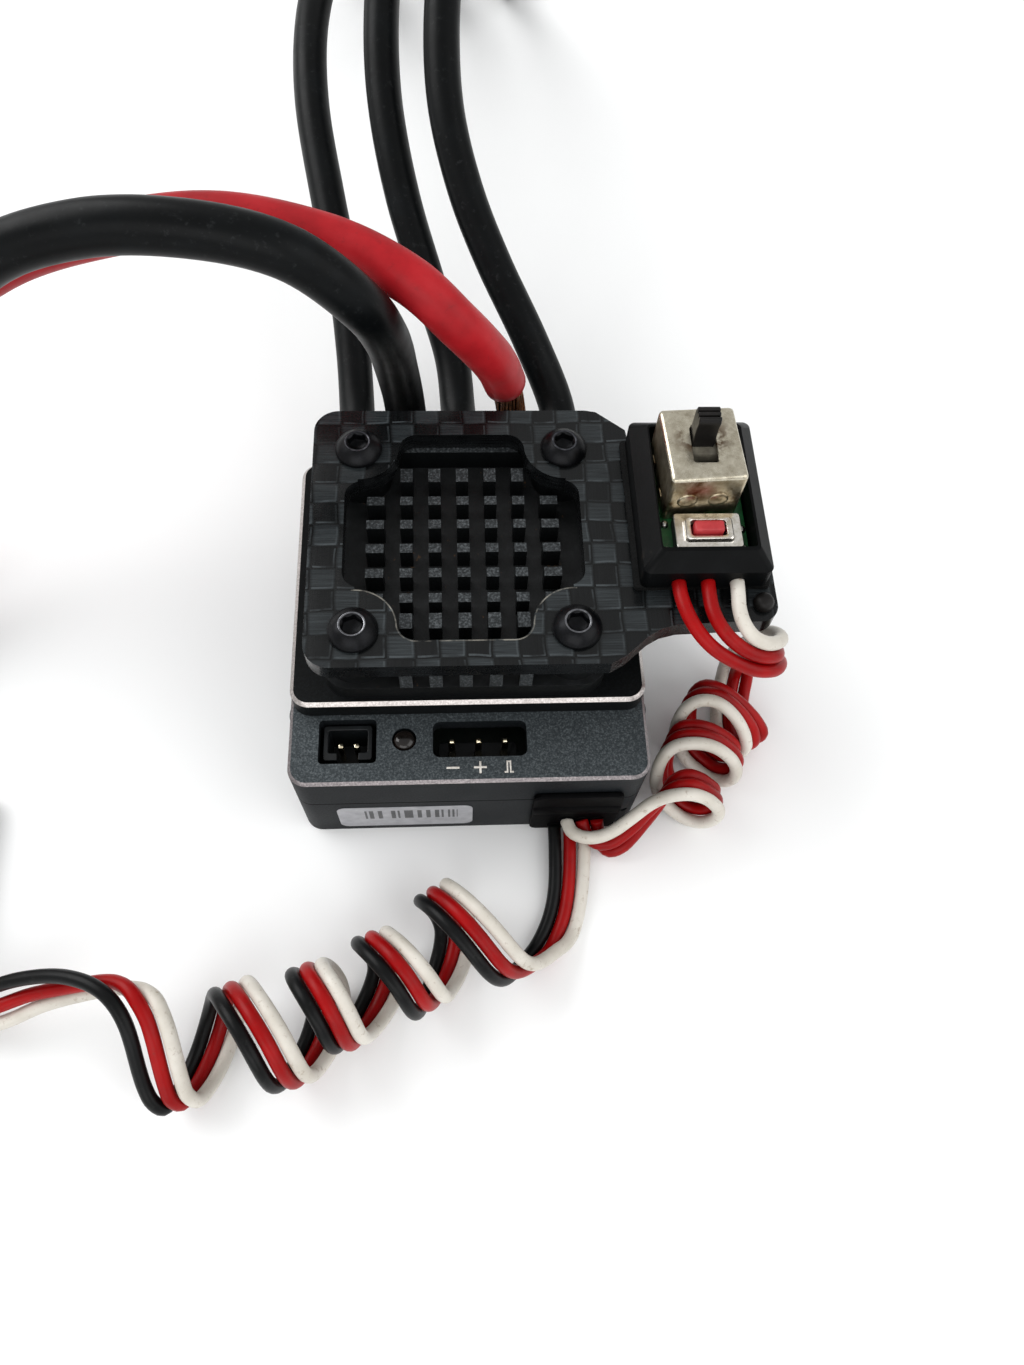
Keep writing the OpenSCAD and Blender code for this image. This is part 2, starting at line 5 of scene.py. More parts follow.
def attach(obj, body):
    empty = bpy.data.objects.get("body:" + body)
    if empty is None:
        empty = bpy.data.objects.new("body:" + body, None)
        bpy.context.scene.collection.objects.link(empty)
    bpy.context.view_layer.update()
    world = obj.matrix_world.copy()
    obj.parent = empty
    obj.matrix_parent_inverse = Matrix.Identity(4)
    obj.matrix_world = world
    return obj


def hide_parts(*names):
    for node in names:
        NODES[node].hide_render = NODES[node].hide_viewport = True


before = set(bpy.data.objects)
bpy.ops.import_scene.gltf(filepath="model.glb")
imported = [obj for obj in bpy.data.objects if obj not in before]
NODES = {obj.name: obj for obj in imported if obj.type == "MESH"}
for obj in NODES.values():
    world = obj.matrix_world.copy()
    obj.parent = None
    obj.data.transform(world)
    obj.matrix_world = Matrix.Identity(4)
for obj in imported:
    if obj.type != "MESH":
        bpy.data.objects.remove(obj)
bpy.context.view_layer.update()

MM = 0.001
SC = bpy.context.scene

# ------------------------------------------------------------------ camera
def camera():
    el, yaw, roll = math.radians(64.467), math.radians(7.414), math.radians(-5.718)
    fwd = Vector((math.sin(yaw) * math.cos(el), math.cos(yaw) * math.cos(el), -math.sin(el)))
    right = Vector((math.cos(yaw), -math.sin(yaw), 0))
    down = fwd.cross(right)
    c, s = math.cos(roll), math.sin(roll)
    x = c * right + s * down
    y = -(-s * right + c * down)
    z = -fwd
    cd = bpy.data.cameras.new("photo_camera")
    cd.sensor_fit = "AUTO"
    cd.sensor_width = 36.0
    cd.lens = 1008.071 * 36.0 / 1365.0
    cd.clip_start, cd.clip_end = 0.005, 20
    ob = bpy.data.objects.new("photo_camera", cd)
    SC.collection.objects.link(ob)
    m = Matrix((x, y, z)).transposed().to_4x4()
    m.translation = Vector((-1.254, -49.234, 101.803)) * MM
    ob.matrix_world = m
    SC.camera = ob

camera()

# ------------------------------------------------------------------ routes, in mm
MOTOR_A = [[-11.7, 23, 10.6], [-12, 29, 10], [-12.4, 35.5, 12], [-13.3, 43.5, 15.5], [-15.2, 53, 19], [-17, 64, 22.5], [-17.4, 74, 24.5], [-16.6, 84, 25], [-15.2, 94.5, 22], [-14.2, 103, 16], [-13.5, 111, 10.4], [-13, 118.5, 5.8], [-13, 125, 2.7], [-13, 129, 2.35], [-13, 132, 2.3]]
MOTOR_B = [[-0.3, 23, 10.6], [-0.5, 29.5, 10], [-1.2, 36, 12], [-3.8, 43, 16.5], [-6.5, 51, 21.5], [-8.2, 60, 26.5], [-8.4, 69, 30.5], [-7.5, 79, 32.5], [-5.8, 89, 30], [-4.2, 98, 23.5], [-3.2, 105.5, 16.2], [-2.6, 112.8, 9.8], [-2.2, 119.4, 5.3], [-2, 123.8, 3.1], [-2, 127, 2.35], [-2, 129.5, 2.3]]
MOTOR_C = [[11.1, 23, 10.6], [10.6, 28.5, 12], [7.6, 34.5, 16], [3.8, 41.5, 20], [0.8, 48, 24], [-1.2, 55, 28.5], [-1.6, 62.5, 32.5], [-0.8, 71, 35.5], [1.2, 81, 35.5], [3.6, 90.5, 31], [5.6, 98.5, 23.5], [7, 105.8, 16], [8, 112.8, 9.8], [8.7, 118.6, 5.4], [9, 122.2, 3.3], [9, 125, 2.35], [9, 127.5, 2.3]]
BATT_N = [[-6, 23, 10.6], [-6, 24.2, 10.8], [-6.4, 26.6, 14.6], [-6.9, 25.5, 21], [-7.4, 22.1, 28.7], [-9.2, 19.1, 35.8], [-14.5, 19, 41.2], [-22, 19.8, 42.8], [-31, 20.5, 42.2], [-40, 20.3, 39], [-48, 19, 32], [-53.2, 16.5, 22.5], [-57, 12.5, 12.5], [-59.4, 5.5, 4.8], [-60.2, -4, 2.6], [-60.2, -15, 2.5]]
BATT_P = [[4.4, 24.35, 20], [3.6, 23.5, 23], [2.4, 22.6, 26], [-0.5, 22.1, 30.4], [-5, 24, 33.9], [-12.2, 27.5, 35.2], [-22, 29.2, 36], [-32, 28, 35.6], [-42, 26, 33.5], [-51, 23.5, 28], [-58.8, 20.5, 19.5], [-64.2, 16, 10.5], [-67.6, 8.5, 4.2], [-68.7, -1, 2.6], [-68.7, -12, 2.5]]
STRANDS = [[5.4, 18.6, 10.6], [5.4, 22.2, 10.6], [5.4, 24, 12], [5.3, 24.7, 14], [5.1, 24.9, 16.2], [4.6, 24.5, 19]]
SWITCH_W = [[9.75, -18.2, 3.2], [10.25, -19.53, 3.46], [11.53, -20.21, 3.75], [13.02, -20.17, 3.89], [14.41, -19.69, 4.22], [15.63, -19.01, 4.77], [16.81, -18.28, 5.36], [17.9, -17.7, 6.23], [19.02, -17.42, 7.2], [20.32, -17.36, 7.96], [21.79, -17.42, 8.17], [23.17, -17.61, 7.6], [24.23, -17.87, 6.57], [25.01, -18.15, 5.32], [25.19, -18.33, 3.85], [24.79, -18.35, 2.4], [23.87, -18.13, 1.25], [22.54, -17.58, 0.89], [21.29, -16.86, 1.32], [20.28, -16.11, 2.15], [19.5, -15.3, 3.15], [19.19, -14.43, 4.33], [19.31, -13.54, 5.54], [19.8, -12.68, 6.67], [20.8, -12.11, 7.63], [22.18, -12.03, 8.19], [23.68, -12.14, 8.18], [25.04, -12.36, 7.59], [26.18, -12.69, 6.66], [27.12, -13.06, 5.54], [27.71, -13.56, 4.26], [27.68, -13.89, 2.8], [26.92, -13.77, 1.53], [25.72, -13.14, 0.91], [24.58, -12.16, 0.82], [23.46, -11.23, 1.17], [22.6, -10.37, 2.06], [22.03, -9.57, 3.2], [21.8, -8.89, 4.52], [22.01, -8.25, 5.86], [22.59, -7.62, 7.1], [23.71, -7.28, 8.01], [25.19, -7.37, 8.12], [26.51, -7.86, 7.59], [27.58, -8.56, 6.8], [28.43, -9.33, 5.82], [29.06, -10.04, 4.65], [29.37, -10.59, 3.3], [28.98, -10.74, 1.87], [28.12, -9.95, 0.99], [27.45, -8.64, 0.74], [27.28, -7.14, 0.74], [27.36, -5.64, 0.83], [27.6, -4.18, 1.11], [27.88, -2.84, 1.74], [28.09, -1.81, 2.81], [28.12, -1.32, 4.22], [28.17, -1.24, 5.73], [28.26, -1.35, 7.23], [28.39, -1.59, 8.72], [28.51, -1.92, 10.19], [28.56, -2.32, 11.64], [28.54, -2.76, 13.08], [28.48, -3.25, 14.51], [28.45, -3.78, 15.92], [28.47, -4.37, 17.31], [28.66, -5.03, 18.65], [28.92, -5.96, 19.81], [28.69, -6.98, 20.88], [27.86, -7.81, 21.82], [26.7, -8.27, 22.65], [25.39, -7.96, 23.27], [24.56, -6.79, 23.65], [24.32, -5.31, 23.75], [24.42, -3.81, 23.75], [24.5, -2.3, 23.75]]
SWITCH_R1 = [[11.3, -18.2, 3.2], [11.75, -19.36, 2.57], [12.77, -20.39, 2.34], [14.18, -20.5, 2.61], [15.41, -19.93, 3.24], [16.56, -19.1, 3.71], [17.61, -18.18, 4.25], [18.58, -17.4, 5.06], [19.48, -16.75, 6.07], [20.46, -16.27, 7.09], [21.85, -16.15, 7.51], [23.2, -16.35, 6.95], [24.27, -16.62, 5.94], [25.1, -16.87, 4.73], [25.21, -16.98, 3.27], [24.57, -16.9, 1.93], [23.47, -16.5, 1.04], [22.17, -15.81, 1], [21.08, -15.07, 1.7], [20.3, -14.28, 2.69], [19.95, -13.39, 3.83], [20.07, -12.46, 5], [20.47, -11.52, 6.09], [21.34, -10.88, 7.1], [22.71, -10.78, 7.62], [24.17, -10.95, 7.45], [25.48, -11.2, 6.78], [26.61, -11.52, 5.85], [27.59, -11.9, 4.79], [28.19, -12.42, 3.55], [27.75, -12.57, 2.16], [26.73, -12.17, 1.17], [25.63, -11.25, 0.83], [24.52, -10.28, 1.06], [23.61, -9.4, 1.84], [23.01, -8.59, 2.93], [22.76, -7.88, 4.22], [22.88, -7.14, 5.52], [23.36, -6.41, 6.72], [24.57, -6.11, 7.45], [26.02, -6.35, 7.3], [27.29, -6.91, 6.75], [28.39, -7.63, 6.03], [29.35, -8.42, 5.19], [30.12, -9.21, 4.19], [30.43, -9.82, 2.89], [29.82, -9.7, 1.58], [28.99, -8.74, 0.86], [28.69, -7.29, 0.73], [28.75, -5.8, 0.84], [28.98, -4.36, 1.16], [29.26, -3.03, 1.79], [29.46, -1.96, 2.8], [29.4, -1.81, 4.25], [29.22, -2.13, 5.7], [29.04, -2.48, 7.14], [28.89, -2.87, 8.58], [28.77, -3.27, 10.02], [28.7, -3.69, 11.45], [28.66, -4.13, 12.88], [28.65, -4.62, 14.3], [28.65, -5.15, 15.7], [28.67, -5.77, 17.06], [28.71, -6.53, 18.34], [28.63, -7.5, 19.48], [28.1, -8.46, 20.47], [26.94, -8.96, 21.25], [25.61, -8.99, 21.92], [24.32, -8.61, 22.57], [23.17, -7.86, 23.16], [22.33, -6.69, 23.55], [21.87, -5.29, 23.72], [21.78, -3.8, 23.75], [21.8, -2.3, 23.75]]
SWITCH_R2 = [[12.85, -18.2, 3.2], [13.05, -18.85, 2.27], [13.25, -19.77, 1.22], [14.12, -20.91, 1.11], [15.39, -20.75, 1.78], [16.5, -19.87, 2.25], [17.51, -18.83, 2.63], [18.47, -17.83, 3.2], [19.31, -16.9, 4.02], [20.01, -16.02, 5.02], [20.64, -15.26, 6.15], [21.83, -14.9, 6.85], [23.19, -15.08, 6.32], [24.28, -15.36, 5.33], [25.17, -15.57, 4.14], [25.16, -15.6, 2.71], [24.26, -15.38, 1.53], [23.07, -14.75, 0.94], [21.85, -14, 1.28], [21.03, -13.21, 2.24], [20.7, -12.3, 3.38], [20.85, -11.32, 4.5], [21.15, -10.31, 5.56], [21.89, -9.6, 6.63], [23.3, -9.56, 7.01], [24.73, -9.78, 6.67], [25.99, -10.05, 5.91], [27.12, -10.37, 4.97], [28.01, -10.82, 3.87], [27.85, -11.22, 2.48], [27.08, -10.79, 1.3], [26.09, -9.79, 0.87], [25.02, -8.83, 1.27], [24.23, -7.96, 2.19], [23.79, -7.17, 3.38], [23.7, -6.39, 4.66], [23.86, -5.49, 5.84], [24.83, -4.96, 6.74], [26.29, -5.17, 6.64], [27.59, -5.72, 6.14], [28.75, -6.42, 5.5], [29.82, -7.19, 4.79], [30.79, -8.02, 3.99], [31.49, -8.87, 2.99], [31.1, -8.94, 1.67], [30.24, -8.05, 0.89], [30.09, -6.58, 0.77], [30.26, -5.11, 1.01], [30.53, -3.73, 1.53], [30.79, -2.51, 2.35], [30.83, -1.7, 3.53], [30.69, -1.96, 5], [30.5, -2.37, 6.43], [30.32, -2.81, 7.85], [30.18, -3.3, 9.26], [30.05, -3.83, 10.66], [29.94, -4.4, 12.05], [29.84, -5.02, 13.41], [29.72, -5.69, 14.75], [29.56, -6.42, 16.05], [29.39, -7.25, 17.29], [29.11, -8.24, 18.37], [28.38, -9.19, 19.25], [27.2, -9.74, 19.98], [25.85, -9.89, 20.62], [24.49, -9.64, 21.2], [23.19, -9.26, 21.83], [21.95, -8.71, 22.46], [20.88, -7.81, 23.01], [20.06, -6.63, 23.4], [19.49, -5.26, 23.65], [19.18, -3.8, 23.74], [19.1, -2.3, 23.75]]
RX_BLACK = [[8.65, -18.2, 1.5], [8.64, -19.79, 1.33], [8.59, -21.37, 1.17], [8.52, -22.96, 1.02], [8.38, -24.55, 0.88], [8.08, -26.11, 0.75], [7.59, -27.63, 0.7], [6.92, -29.07, 0.7], [6.09, -30.41, 0.88], [5.13, -31.55, 1.46], [4.22, -32.56, 2.28], [3.4, -33.44, 3.33], [2.65, -33.97, 4.63], [1.94, -34.04, 6.05], [1.2, -33.68, 7.41], [0.4, -32.92, 8.56], [-0.5, -31.89, 9.37], [-1.51, -30.72, 9.76], [-2.57, -29.54, 9.7], [-3.58, -28.43, 9.18], [-4.44, -27.5, 8.21], [-4.93, -26.87, 6.84], [-4.83, -26.61, 5.28], [-4.27, -26.78, 3.81], [-3.57, -27.4, 2.52], [-3.12, -28.55, 1.53], [-3.25, -30.03, 0.99], [-3.64, -31.56, 0.83], [-4.09, -33.07, 1.05], [-4.51, -34.48, 1.68], [-4.89, -35.66, 2.67], [-5.21, -36.48, 4], [-5.51, -36.81, 5.52], [-5.88, -36.59, 7.05], [-6.41, -35.86, 8.35], [-7.18, -34.76, 9.19], [-8.17, -33.54, 9.44], [-9.2, -32.39, 9.09], [-10.1, -31.4, 8.22], [-10.67, -30.7, 6.92], [-10.76, -30.34, 5.38], [-10.4, -30.4, 3.84], [-9.83, -30.94, 2.46], [-9.61, -32.08, 1.41], [-10.01, -33.53, 0.9], [-10.64, -34.99, 0.87], [-11.27, -36.41, 1.23], [-11.89, -37.7, 1.94], [-12.34, -38.74, 3.04], [-12.64, -39.36, 4.47], [-12.88, -39.42, 6.04], [-13.19, -38.91, 7.51], [-13.68, -37.92, 8.64], [-14.43, -36.64, 9.21], [-15.29, -35.32, 9.08], [-16.06, -34.17, 8.3], [-16.54, -33.37, 7.02], [-16.57, -33.01, 5.48], [-16.18, -33.11, 3.94], [-15.6, -33.7, 2.59], [-15.21, -34.82, 1.54], [-15.36, -36.28, 0.96], [-15.75, -37.82, 0.85], [-16.28, -39.29, 1.14], [-16.8, -40.64, 1.82], [-17.27, -41.74, 2.87], [-17.66, -42.42, 4.25], [-17.98, -42.54, 5.8], [-18.31, -42.1, 7.29], [-18.76, -41.2, 8.52], [-19.39, -40.01, 9.36], [-20.19, -38.69, 9.72], [-21.09, -37.38, 9.59], [-21.99, -36.22, 8.98], [-22.78, -35.29, 7.96], [-23.39, -34.72, 6.61], [-23.88, -34.64, 5.1], [-24.35, -35.1, 3.65], [-24.83, -36, 2.43], [-25.32, -37.21, 1.53], [-25.82, -38.62, 0.99], [-26.34, -40.12, 0.86], [-26.85, -41.6, 1.15], [-27.38, -42.92, 1.87], [-27.93, -43.89, 2.98], [-28.7, -43.35, 4.16], [-29.24, -42.17, 5.08], [-29.52, -40.98, 6.11], [-29.71, -39.8, 7.17], [-29.92, -38.6, 8.19], [-30.33, -37.3, 9.03], [-31.06, -36.01, 9.59], [-32.14, -34.87, 9.82], [-33.48, -34.03, 9.67], [-34.92, -33.47, 9.28], [-36.39, -33.1, 8.76], [-37.86, -32.91, 8.18], [-39.33, -32.86, 7.56], [-40.81, -32.91, 6.95], [-42.24, -33.05, 6.27], [-43.58, -33.25, 5.43], [-44.84, -33.48, 4.47], [-46.13, -33.62, 3.54], [-47.52, -33.46, 2.78], [-48.95, -33.03, 2.25], [-50.21, -32.14, 1.87], [-50.95, -30.76, 1.66], [-51.26, -29.2, 1.59], [-51.28, -27.6, 1.6]]
RX_RED = [[10.2, -18.2, 1.5], [10.18, -19.79, 1.33], [10.09, -21.38, 1.17], [9.97, -22.97, 1.02], [9.78, -24.55, 0.88], [9.49, -26.11, 0.75], [9.05, -27.65, 0.7], [8.42, -29.12, 0.69], [7.68, -30.51, 0.89], [6.76, -31.55, 1.67], [5.75, -32.32, 2.64], [4.79, -32.97, 3.73], [3.89, -33.38, 4.99], [3.11, -33.36, 6.37], [2.34, -32.9, 7.69], [1.51, -32.06, 8.77], [0.58, -30.98, 9.49], [-0.44, -29.8, 9.79], [-1.51, -28.62, 9.64], [-2.51, -27.54, 9.04], [-3.32, -26.65, 8], [-3.74, -26.07, 6.58], [-3.55, -25.88, 5.02], [-2.94, -26.12, 3.57], [-2.28, -26.84, 2.32], [-1.83, -28.05, 1.39], [-1.8, -29.56, 0.92], [-2.11, -31.13, 0.9], [-2.58, -32.61, 1.26], [-3.1, -33.95, 1.95], [-3.59, -35.07, 2.97], [-4.02, -35.84, 4.3], [-4.37, -36.11, 5.83], [-4.77, -35.81, 7.34], [-5.34, -34.99, 8.57], [-6.16, -33.84, 9.3], [-7.16, -32.61, 9.4], [-8.18, -31.5, 8.89], [-9.02, -30.62, 7.87], [-9.47, -30.06, 6.46], [-9.37, -29.85, 4.88], [-8.87, -30.09, 3.39], [-8.36, -30.86, 2.1], [-8.25, -32.16, 1.21], [-8.61, -33.67, 0.84], [-9.21, -35.15, 0.91], [-9.87, -36.53, 1.34], [-10.48, -37.77, 2.14], [-11, -38.71, 3.31], [-11.31, -39.21, 4.79], [-11.58, -39.14, 6.35], [-11.9, -38.49, 7.77], [-12.42, -37.4, 8.8], [-13.17, -36.07, 9.24], [-14.03, -34.75, 9.02], [-14.8, -33.64, 8.19], [-15.26, -32.88, 6.88], [-15.22, -32.56, 5.32], [-14.77, -32.73, 3.81], [-14.21, -33.41, 2.48], [-13.86, -34.58, 1.48], [-13.93, -36.07, 0.94], [-14.26, -37.63, 0.86], [-14.77, -39.11, 1.18], [-15.32, -40.44, 1.87], [-15.8, -41.51, 2.95], [-16.16, -42.15, 4.36], [-16.46, -42.21, 5.92], [-16.79, -41.71, 7.39], [-17.25, -40.77, 8.59], [-17.88, -39.55, 9.39], [-18.69, -38.22, 9.73], [-19.6, -36.92, 9.58], [-20.5, -35.75, 8.98], [-21.3, -34.82, 7.97], [-21.94, -34.25, 6.62], [-22.47, -34.18, 5.12], [-22.92, -34.63, 3.66], [-23.35, -35.53, 2.42], [-23.78, -36.76, 1.5], [-24.25, -38.19, 0.98], [-24.75, -39.7, 0.87], [-25.27, -41.18, 1.16], [-25.81, -42.51, 1.84], [-26.39, -43.54, 2.9], [-27.1, -43.21, 4.17], [-27.46, -42.03, 5.19], [-27.67, -40.86, 6.26], [-27.86, -39.66, 7.3], [-28.11, -38.39, 8.23], [-28.56, -37.02, 8.9], [-29.34, -35.68, 9.28], [-30.34, -34.45, 9.18], [-31.63, -33.74, 8.59], [-33.07, -33.52, 7.94], [-34.55, -33.54, 7.33], [-36.04, -33.63, 6.75], [-37.54, -33.74, 6.21], [-39.04, -33.85, 5.67], [-40.54, -34.05, 5.14], [-42.02, -34.41, 4.69], [-43.51, -34.81, 4.26], [-45.03, -35.03, 3.8], [-46.55, -35, 3.31], [-48.06, -34.74, 2.85], [-49.52, -34.27, 2.41], [-50.84, -33.47, 2.02], [-51.82, -32.24, 1.77], [-52.43, -30.77, 1.64], [-52.7, -29.2, 1.58], [-52.7, -27.6, 1.6]]
RX_WHITE = [[11.75, -18.2, 1.5], [11.72, -19.78, 1.33], [11.58, -21.36, 1.18], [11.41, -22.94, 1.03], [11.19, -24.51, 0.89], [10.9, -26.07, 0.75], [10.5, -27.62, 0.7], [9.94, -29.1, 0.79], [9.12, -30.26, 1.47], [8.06, -31.08, 2.33], [7.05, -31.89, 3.26], [6.04, -32.53, 4.32], [5.17, -32.74, 5.62], [4.37, -32.51, 6.97], [3.54, -31.89, 8.18], [2.63, -30.96, 9.1], [1.63, -29.86, 9.65], [0.56, -28.7, 9.79], [-0.52, -27.56, 9.51], [-1.5, -26.54, 8.79], [-2.25, -25.74, 7.65], [-2.51, -25.25, 6.17], [-2.16, -25.16, 4.63], [-1.48, -25.5, 3.24], [-0.8, -26.32, 2.07], [-0.41, -27.61, 1.25], [-0.39, -29.16, 0.89], [-0.61, -30.73, 0.98], [-1.05, -32.19, 1.43], [-1.62, -33.48, 2.17], [-2.19, -34.54, 3.2], [-2.55, -35.23, 4.58], [-2.89, -35.41, 6.12], [-3.34, -35.05, 7.6], [-4.01, -34.21, 8.76], [-4.93, -33.08, 9.37], [-5.98, -31.89, 9.33], [-6.98, -30.84, 8.7], [-7.8, -30.06, 7.59], [-8.18, -29.59, 6.13], [-7.93, -29.45, 4.57], [-7.42, -29.78, 3.11], [-6.99, -30.67, 1.87], [-6.88, -32.03, 1.08], [-7.15, -33.57, 0.83], [-7.69, -35.05, 1.06], [-8.39, -36.36, 1.63], [-9.08, -37.48, 2.51], [-9.72, -38.33, 3.69], [-10.09, -38.73, 5.18], [-10.37, -38.53, 6.72], [-10.73, -37.78, 8.07], [-11.29, -36.61, 8.97], [-12.06, -35.25, 9.24], [-12.91, -33.98, 8.82], [-13.63, -32.99, 7.83], [-13.98, -32.38, 6.41], [-13.76, -32.19, 4.86], [-13.24, -32.5, 3.39], [-12.72, -33.32, 2.14], [-12.45, -34.61, 1.26], [-12.56, -36.13, 0.85], [-12.86, -37.69, 0.93], [-13.36, -39.12, 1.4], [-13.95, -40.36, 2.2], [-14.49, -41.3, 3.36], [-14.84, -41.77, 4.83], [-15.15, -41.65, 6.38], [-15.51, -41, 7.78], [-16.02, -39.96, 8.86], [-16.71, -38.7, 9.53], [-17.56, -37.37, 9.73], [-18.47, -36.1, 9.47], [-19.36, -34.99, 8.75], [-20.11, -34.15, 7.63], [-20.7, -33.71, 6.23], [-21.18, -33.79, 4.72], [-21.61, -34.37, 3.3], [-21.99, -35.38, 2.14], [-22.38, -36.69, 1.32], [-22.81, -38.16, 0.91], [-23.29, -39.68, 0.91], [-23.82, -41.13, 1.28], [-24.38, -42.42, 2.02], [-24.98, -43.35, 3.14], [-25.65, -42.89, 4.42], [-25.95, -41.76, 5.5], [-26.16, -40.59, 6.56], [-26.37, -39.38, 7.57], [-26.67, -38.07, 8.43], [-27.21, -36.66, 8.9], [-28.03, -35.31, 8.8], [-29.22, -34.47, 8.21], [-30.63, -34.1, 7.57], [-32.07, -33.96, 6.89], [-33.54, -34, 6.28], [-35.04, -34.14, 5.75], [-36.54, -34.33, 5.25], [-38.05, -34.57, 4.79], [-39.53, -34.9, 4.31], [-40.97, -35.35, 3.8], [-42.41, -35.84, 3.32], [-43.93, -36.22, 3.06], [-45.51, -36.39, 3.11], [-47.1, -36.31, 3.14], [-48.65, -36, 2.91], [-50.11, -35.5, 2.54], [-51.45, -34.73, 2.16], [-52.56, -33.63, 1.88], [-53.36, -32.26, 1.72], [-53.89, -30.76, 1.62], [-54.14, -29.19, 1.58], [-54.12, -27.6, 1.6]]

# ------------------------------------------------------------------ small tools
def catmull(pts, per):
    p = [Vector(q) for q in pts]
    p = [p[0] * 2 - p[1]] + p + [p[-1] * 2 - p[-2]]
    out = []
    for i in range(1, len(p) - 2):
        a, b, c, d = p[i - 1], p[i], p[i + 1], p[i + 2]
        for k in range(per):
            t = k / per
            out.append(0.5 * ((2 * b) + (c - a) * t + (2 * a - 5 * b + 4 * c - d) * t * t + (3 * b - a - 3 * c + d) * t * t * t))
    out.append(p[-2].copy())
    return out

def even(pts, step):
    s = [0.0]
    for a, b in zip(pts[:-1], pts[1:]):
        s.append(s[-1] + (b - a).length)
    n = max(3, round(s[-1] / step))
    out, j = [], 0
    for i in range(n + 1):
        u = s[-1] * i / n
        while j < len(s) - 2 and s[j + 1] < u:
            j += 1
        w = (u - s[j]) / max(1e-9, s[j + 1] - s[j])
        out.append(pts[j].lerp(pts[j + 1], min(1, max(0, w))))
    return out

def frames_of(pts):
    t = [(pts[min(i + 1, len(pts) - 1)] - pts[max(i - 1, 0)]).normalized() for i in range(len(pts))]
    u = t[0].orthogonal().normalized()
    out = []
    for i, d in enumerate(t):
        if i:
            u = (u - d * u.dot(d)).normalized()
        out.append((u.copy(), d.cross(u).normalized(), d))
    return out

def mesh_obj(name, verts, faces, mats, smooth=True, idx=None):
    me = bpy.data.meshes.new(name)
    me.from_pydata([tuple(Vector(v) * MM) for v in verts], [], faces)
    me.update()
    ob = bpy.data.objects.new(name, me)
    SC.collection.objects.link(ob)
    for m in mats if isinstance(mats, (list, tuple)) else [mats]:
        me.materials.append(m)
    if idx:
        for p, k in zip(me.polygons, idx):
            p.material_index = k
    bm = bmesh.new()
    bm.from_mesh(me)
    bmesh.ops.recalc_face_normals(bm, faces=bm.faces)
    bm.to_mesh(me)
    bm.free()
    for p in me.polygons:
        p.use_smooth = smooth
    return ob

def tube(name, pts, r, sides, mat, rfun=None, caps=True):
    """A closed tube along pts in mm, with a slightly rounded cap at each end."""
    fr = frames_of(pts)
    verts, faces = [], []
    n = len(pts)
    s = 0.0
    for i, p in enumerate(pts):
        if i:
            s += (p - pts[i - 1]).length
        u, v, _ = fr[i]
        for k in range(sides):
            a = 2 * math.pi * k / sides
            rr = r if rfun is None else r * rfun(s, a)
            verts.append(p + (u * math.cos(a) + v * math.sin(a)) * rr)
    for i in range(n - 1):
        for k in range(sides):
            a, b = i * sides + k, i * sides + (k + 1) % sides
            faces.append((a, b, b + sides, a + sides))
    if caps:
        for end, sg in ((0, -1), (n - 1, 1)):
            u, v, d = fr[end]
            base = end * sides
            c0 = len(verts)
            for k in range(sides):
                a = 2 * math.pi * k / sides
                verts.append(pts[end] + (u * math.cos(a) + v * math.sin(a)) * r * 0.86 + d * sg * r * 0.1)
            for k in range(sides):
                a, b = base + k, base + (k + 1) % sides
                faces.append((a, b, c0 + (k + 1) % sides, c0 + k))
            faces.append(tuple(c0 + k for k in range(sides)))
    ob = mesh_obj(name, verts, faces, mat)
    return ob

def lathe(name, profile, origin, axis, mat, n=40, idx=None, up=None):
    """Revolves profile [(radius, along)] about axis through origin, mm."""
    d = Vector(axis).normalized()
    u = (Vector(up) if up else d.orthogonal()).normalized()
    v = d.cross(u)
    o = Vector(origin)
    verts, faces, ids = [], [], []
    for r, h in profile:
        for k in range(n):
            a = 2 * math.pi * k / n
            verts.append(o + d * h + (u * math.cos(a) + v * math.sin(a)) * max(r, 1e-4))
    for i in range(len(profile) - 1):
        for k in range(n):
            a, b = i * n + k, i * n + (k + 1) % n
            faces.append((a, b, b + n, a + n))
            ids.append(idx[i] if idx else 0)
    faces.append(tuple(range(n)))
    ids.append(idx[0] if idx else 0)
    m = (len(profile) - 1) * n
    faces.append(tuple(m + k for k in range(n)))
    ids.append(idx[-1] if idx else 0)
    return mesh_obj(name, verts, faces, mat, True, ids)

def smooth_by_angle(ob, deg=35):
    me = ob.data
    bm = bmesh.new()
    bm.from_mesh(me)
    lim = math.radians(deg)
    for e in bm.edges:
        e.smooth = not (len(e.link_faces) == 2 and e.calc_face_angle(0) > lim)
    bm.to_mesh(me)
    bm.free()
    for p in me.polygons:
        p.use_smooth = True
    return ob

def rbox_pts(w, d, r, n=6):
    out = []
    for cx, cy, a0 in ((w / 2 - r, d / 2 - r, 0), (-w / 2 + r, d / 2 - r, 90), (-w / 2 + r, -d / 2 + r, 180), (w / 2 - r, -d / 2 + r, 270)):
        for k in range(n + 1):
            a = math.radians(a0 + 90 * k / n)
            out.append((cx + r * math.cos(a), cy + r * math.sin(a)))
    return out

def stack(name, rings, mat, ids=None, smooth=True, cap=(True, True)):
    """Skins a list of rings with equal point counts, mm."""
    n = len(rings[0])
    verts = [p for r in rings for p in r]
    faces, fi = [], []
    for i in range(len(rings) - 1):
        for k in range(n):
            a, b = i * n + k, i * n + (k + 1) % n
            faces.append((a, b, b + n, a + n))
            fi.append(ids[i] if ids else 0)
    if cap[0]:
        faces.append(tuple(range(n)))
        fi.append(ids[0] if ids else 0)
    if cap[1]:
        m = (len(rings) - 1) * n
        faces.append(tuple(m + k for k in range(n)))
        fi.append(ids[-1] if ids else 0)
    return mesh_obj(name, verts, faces, mat, smooth, fi)

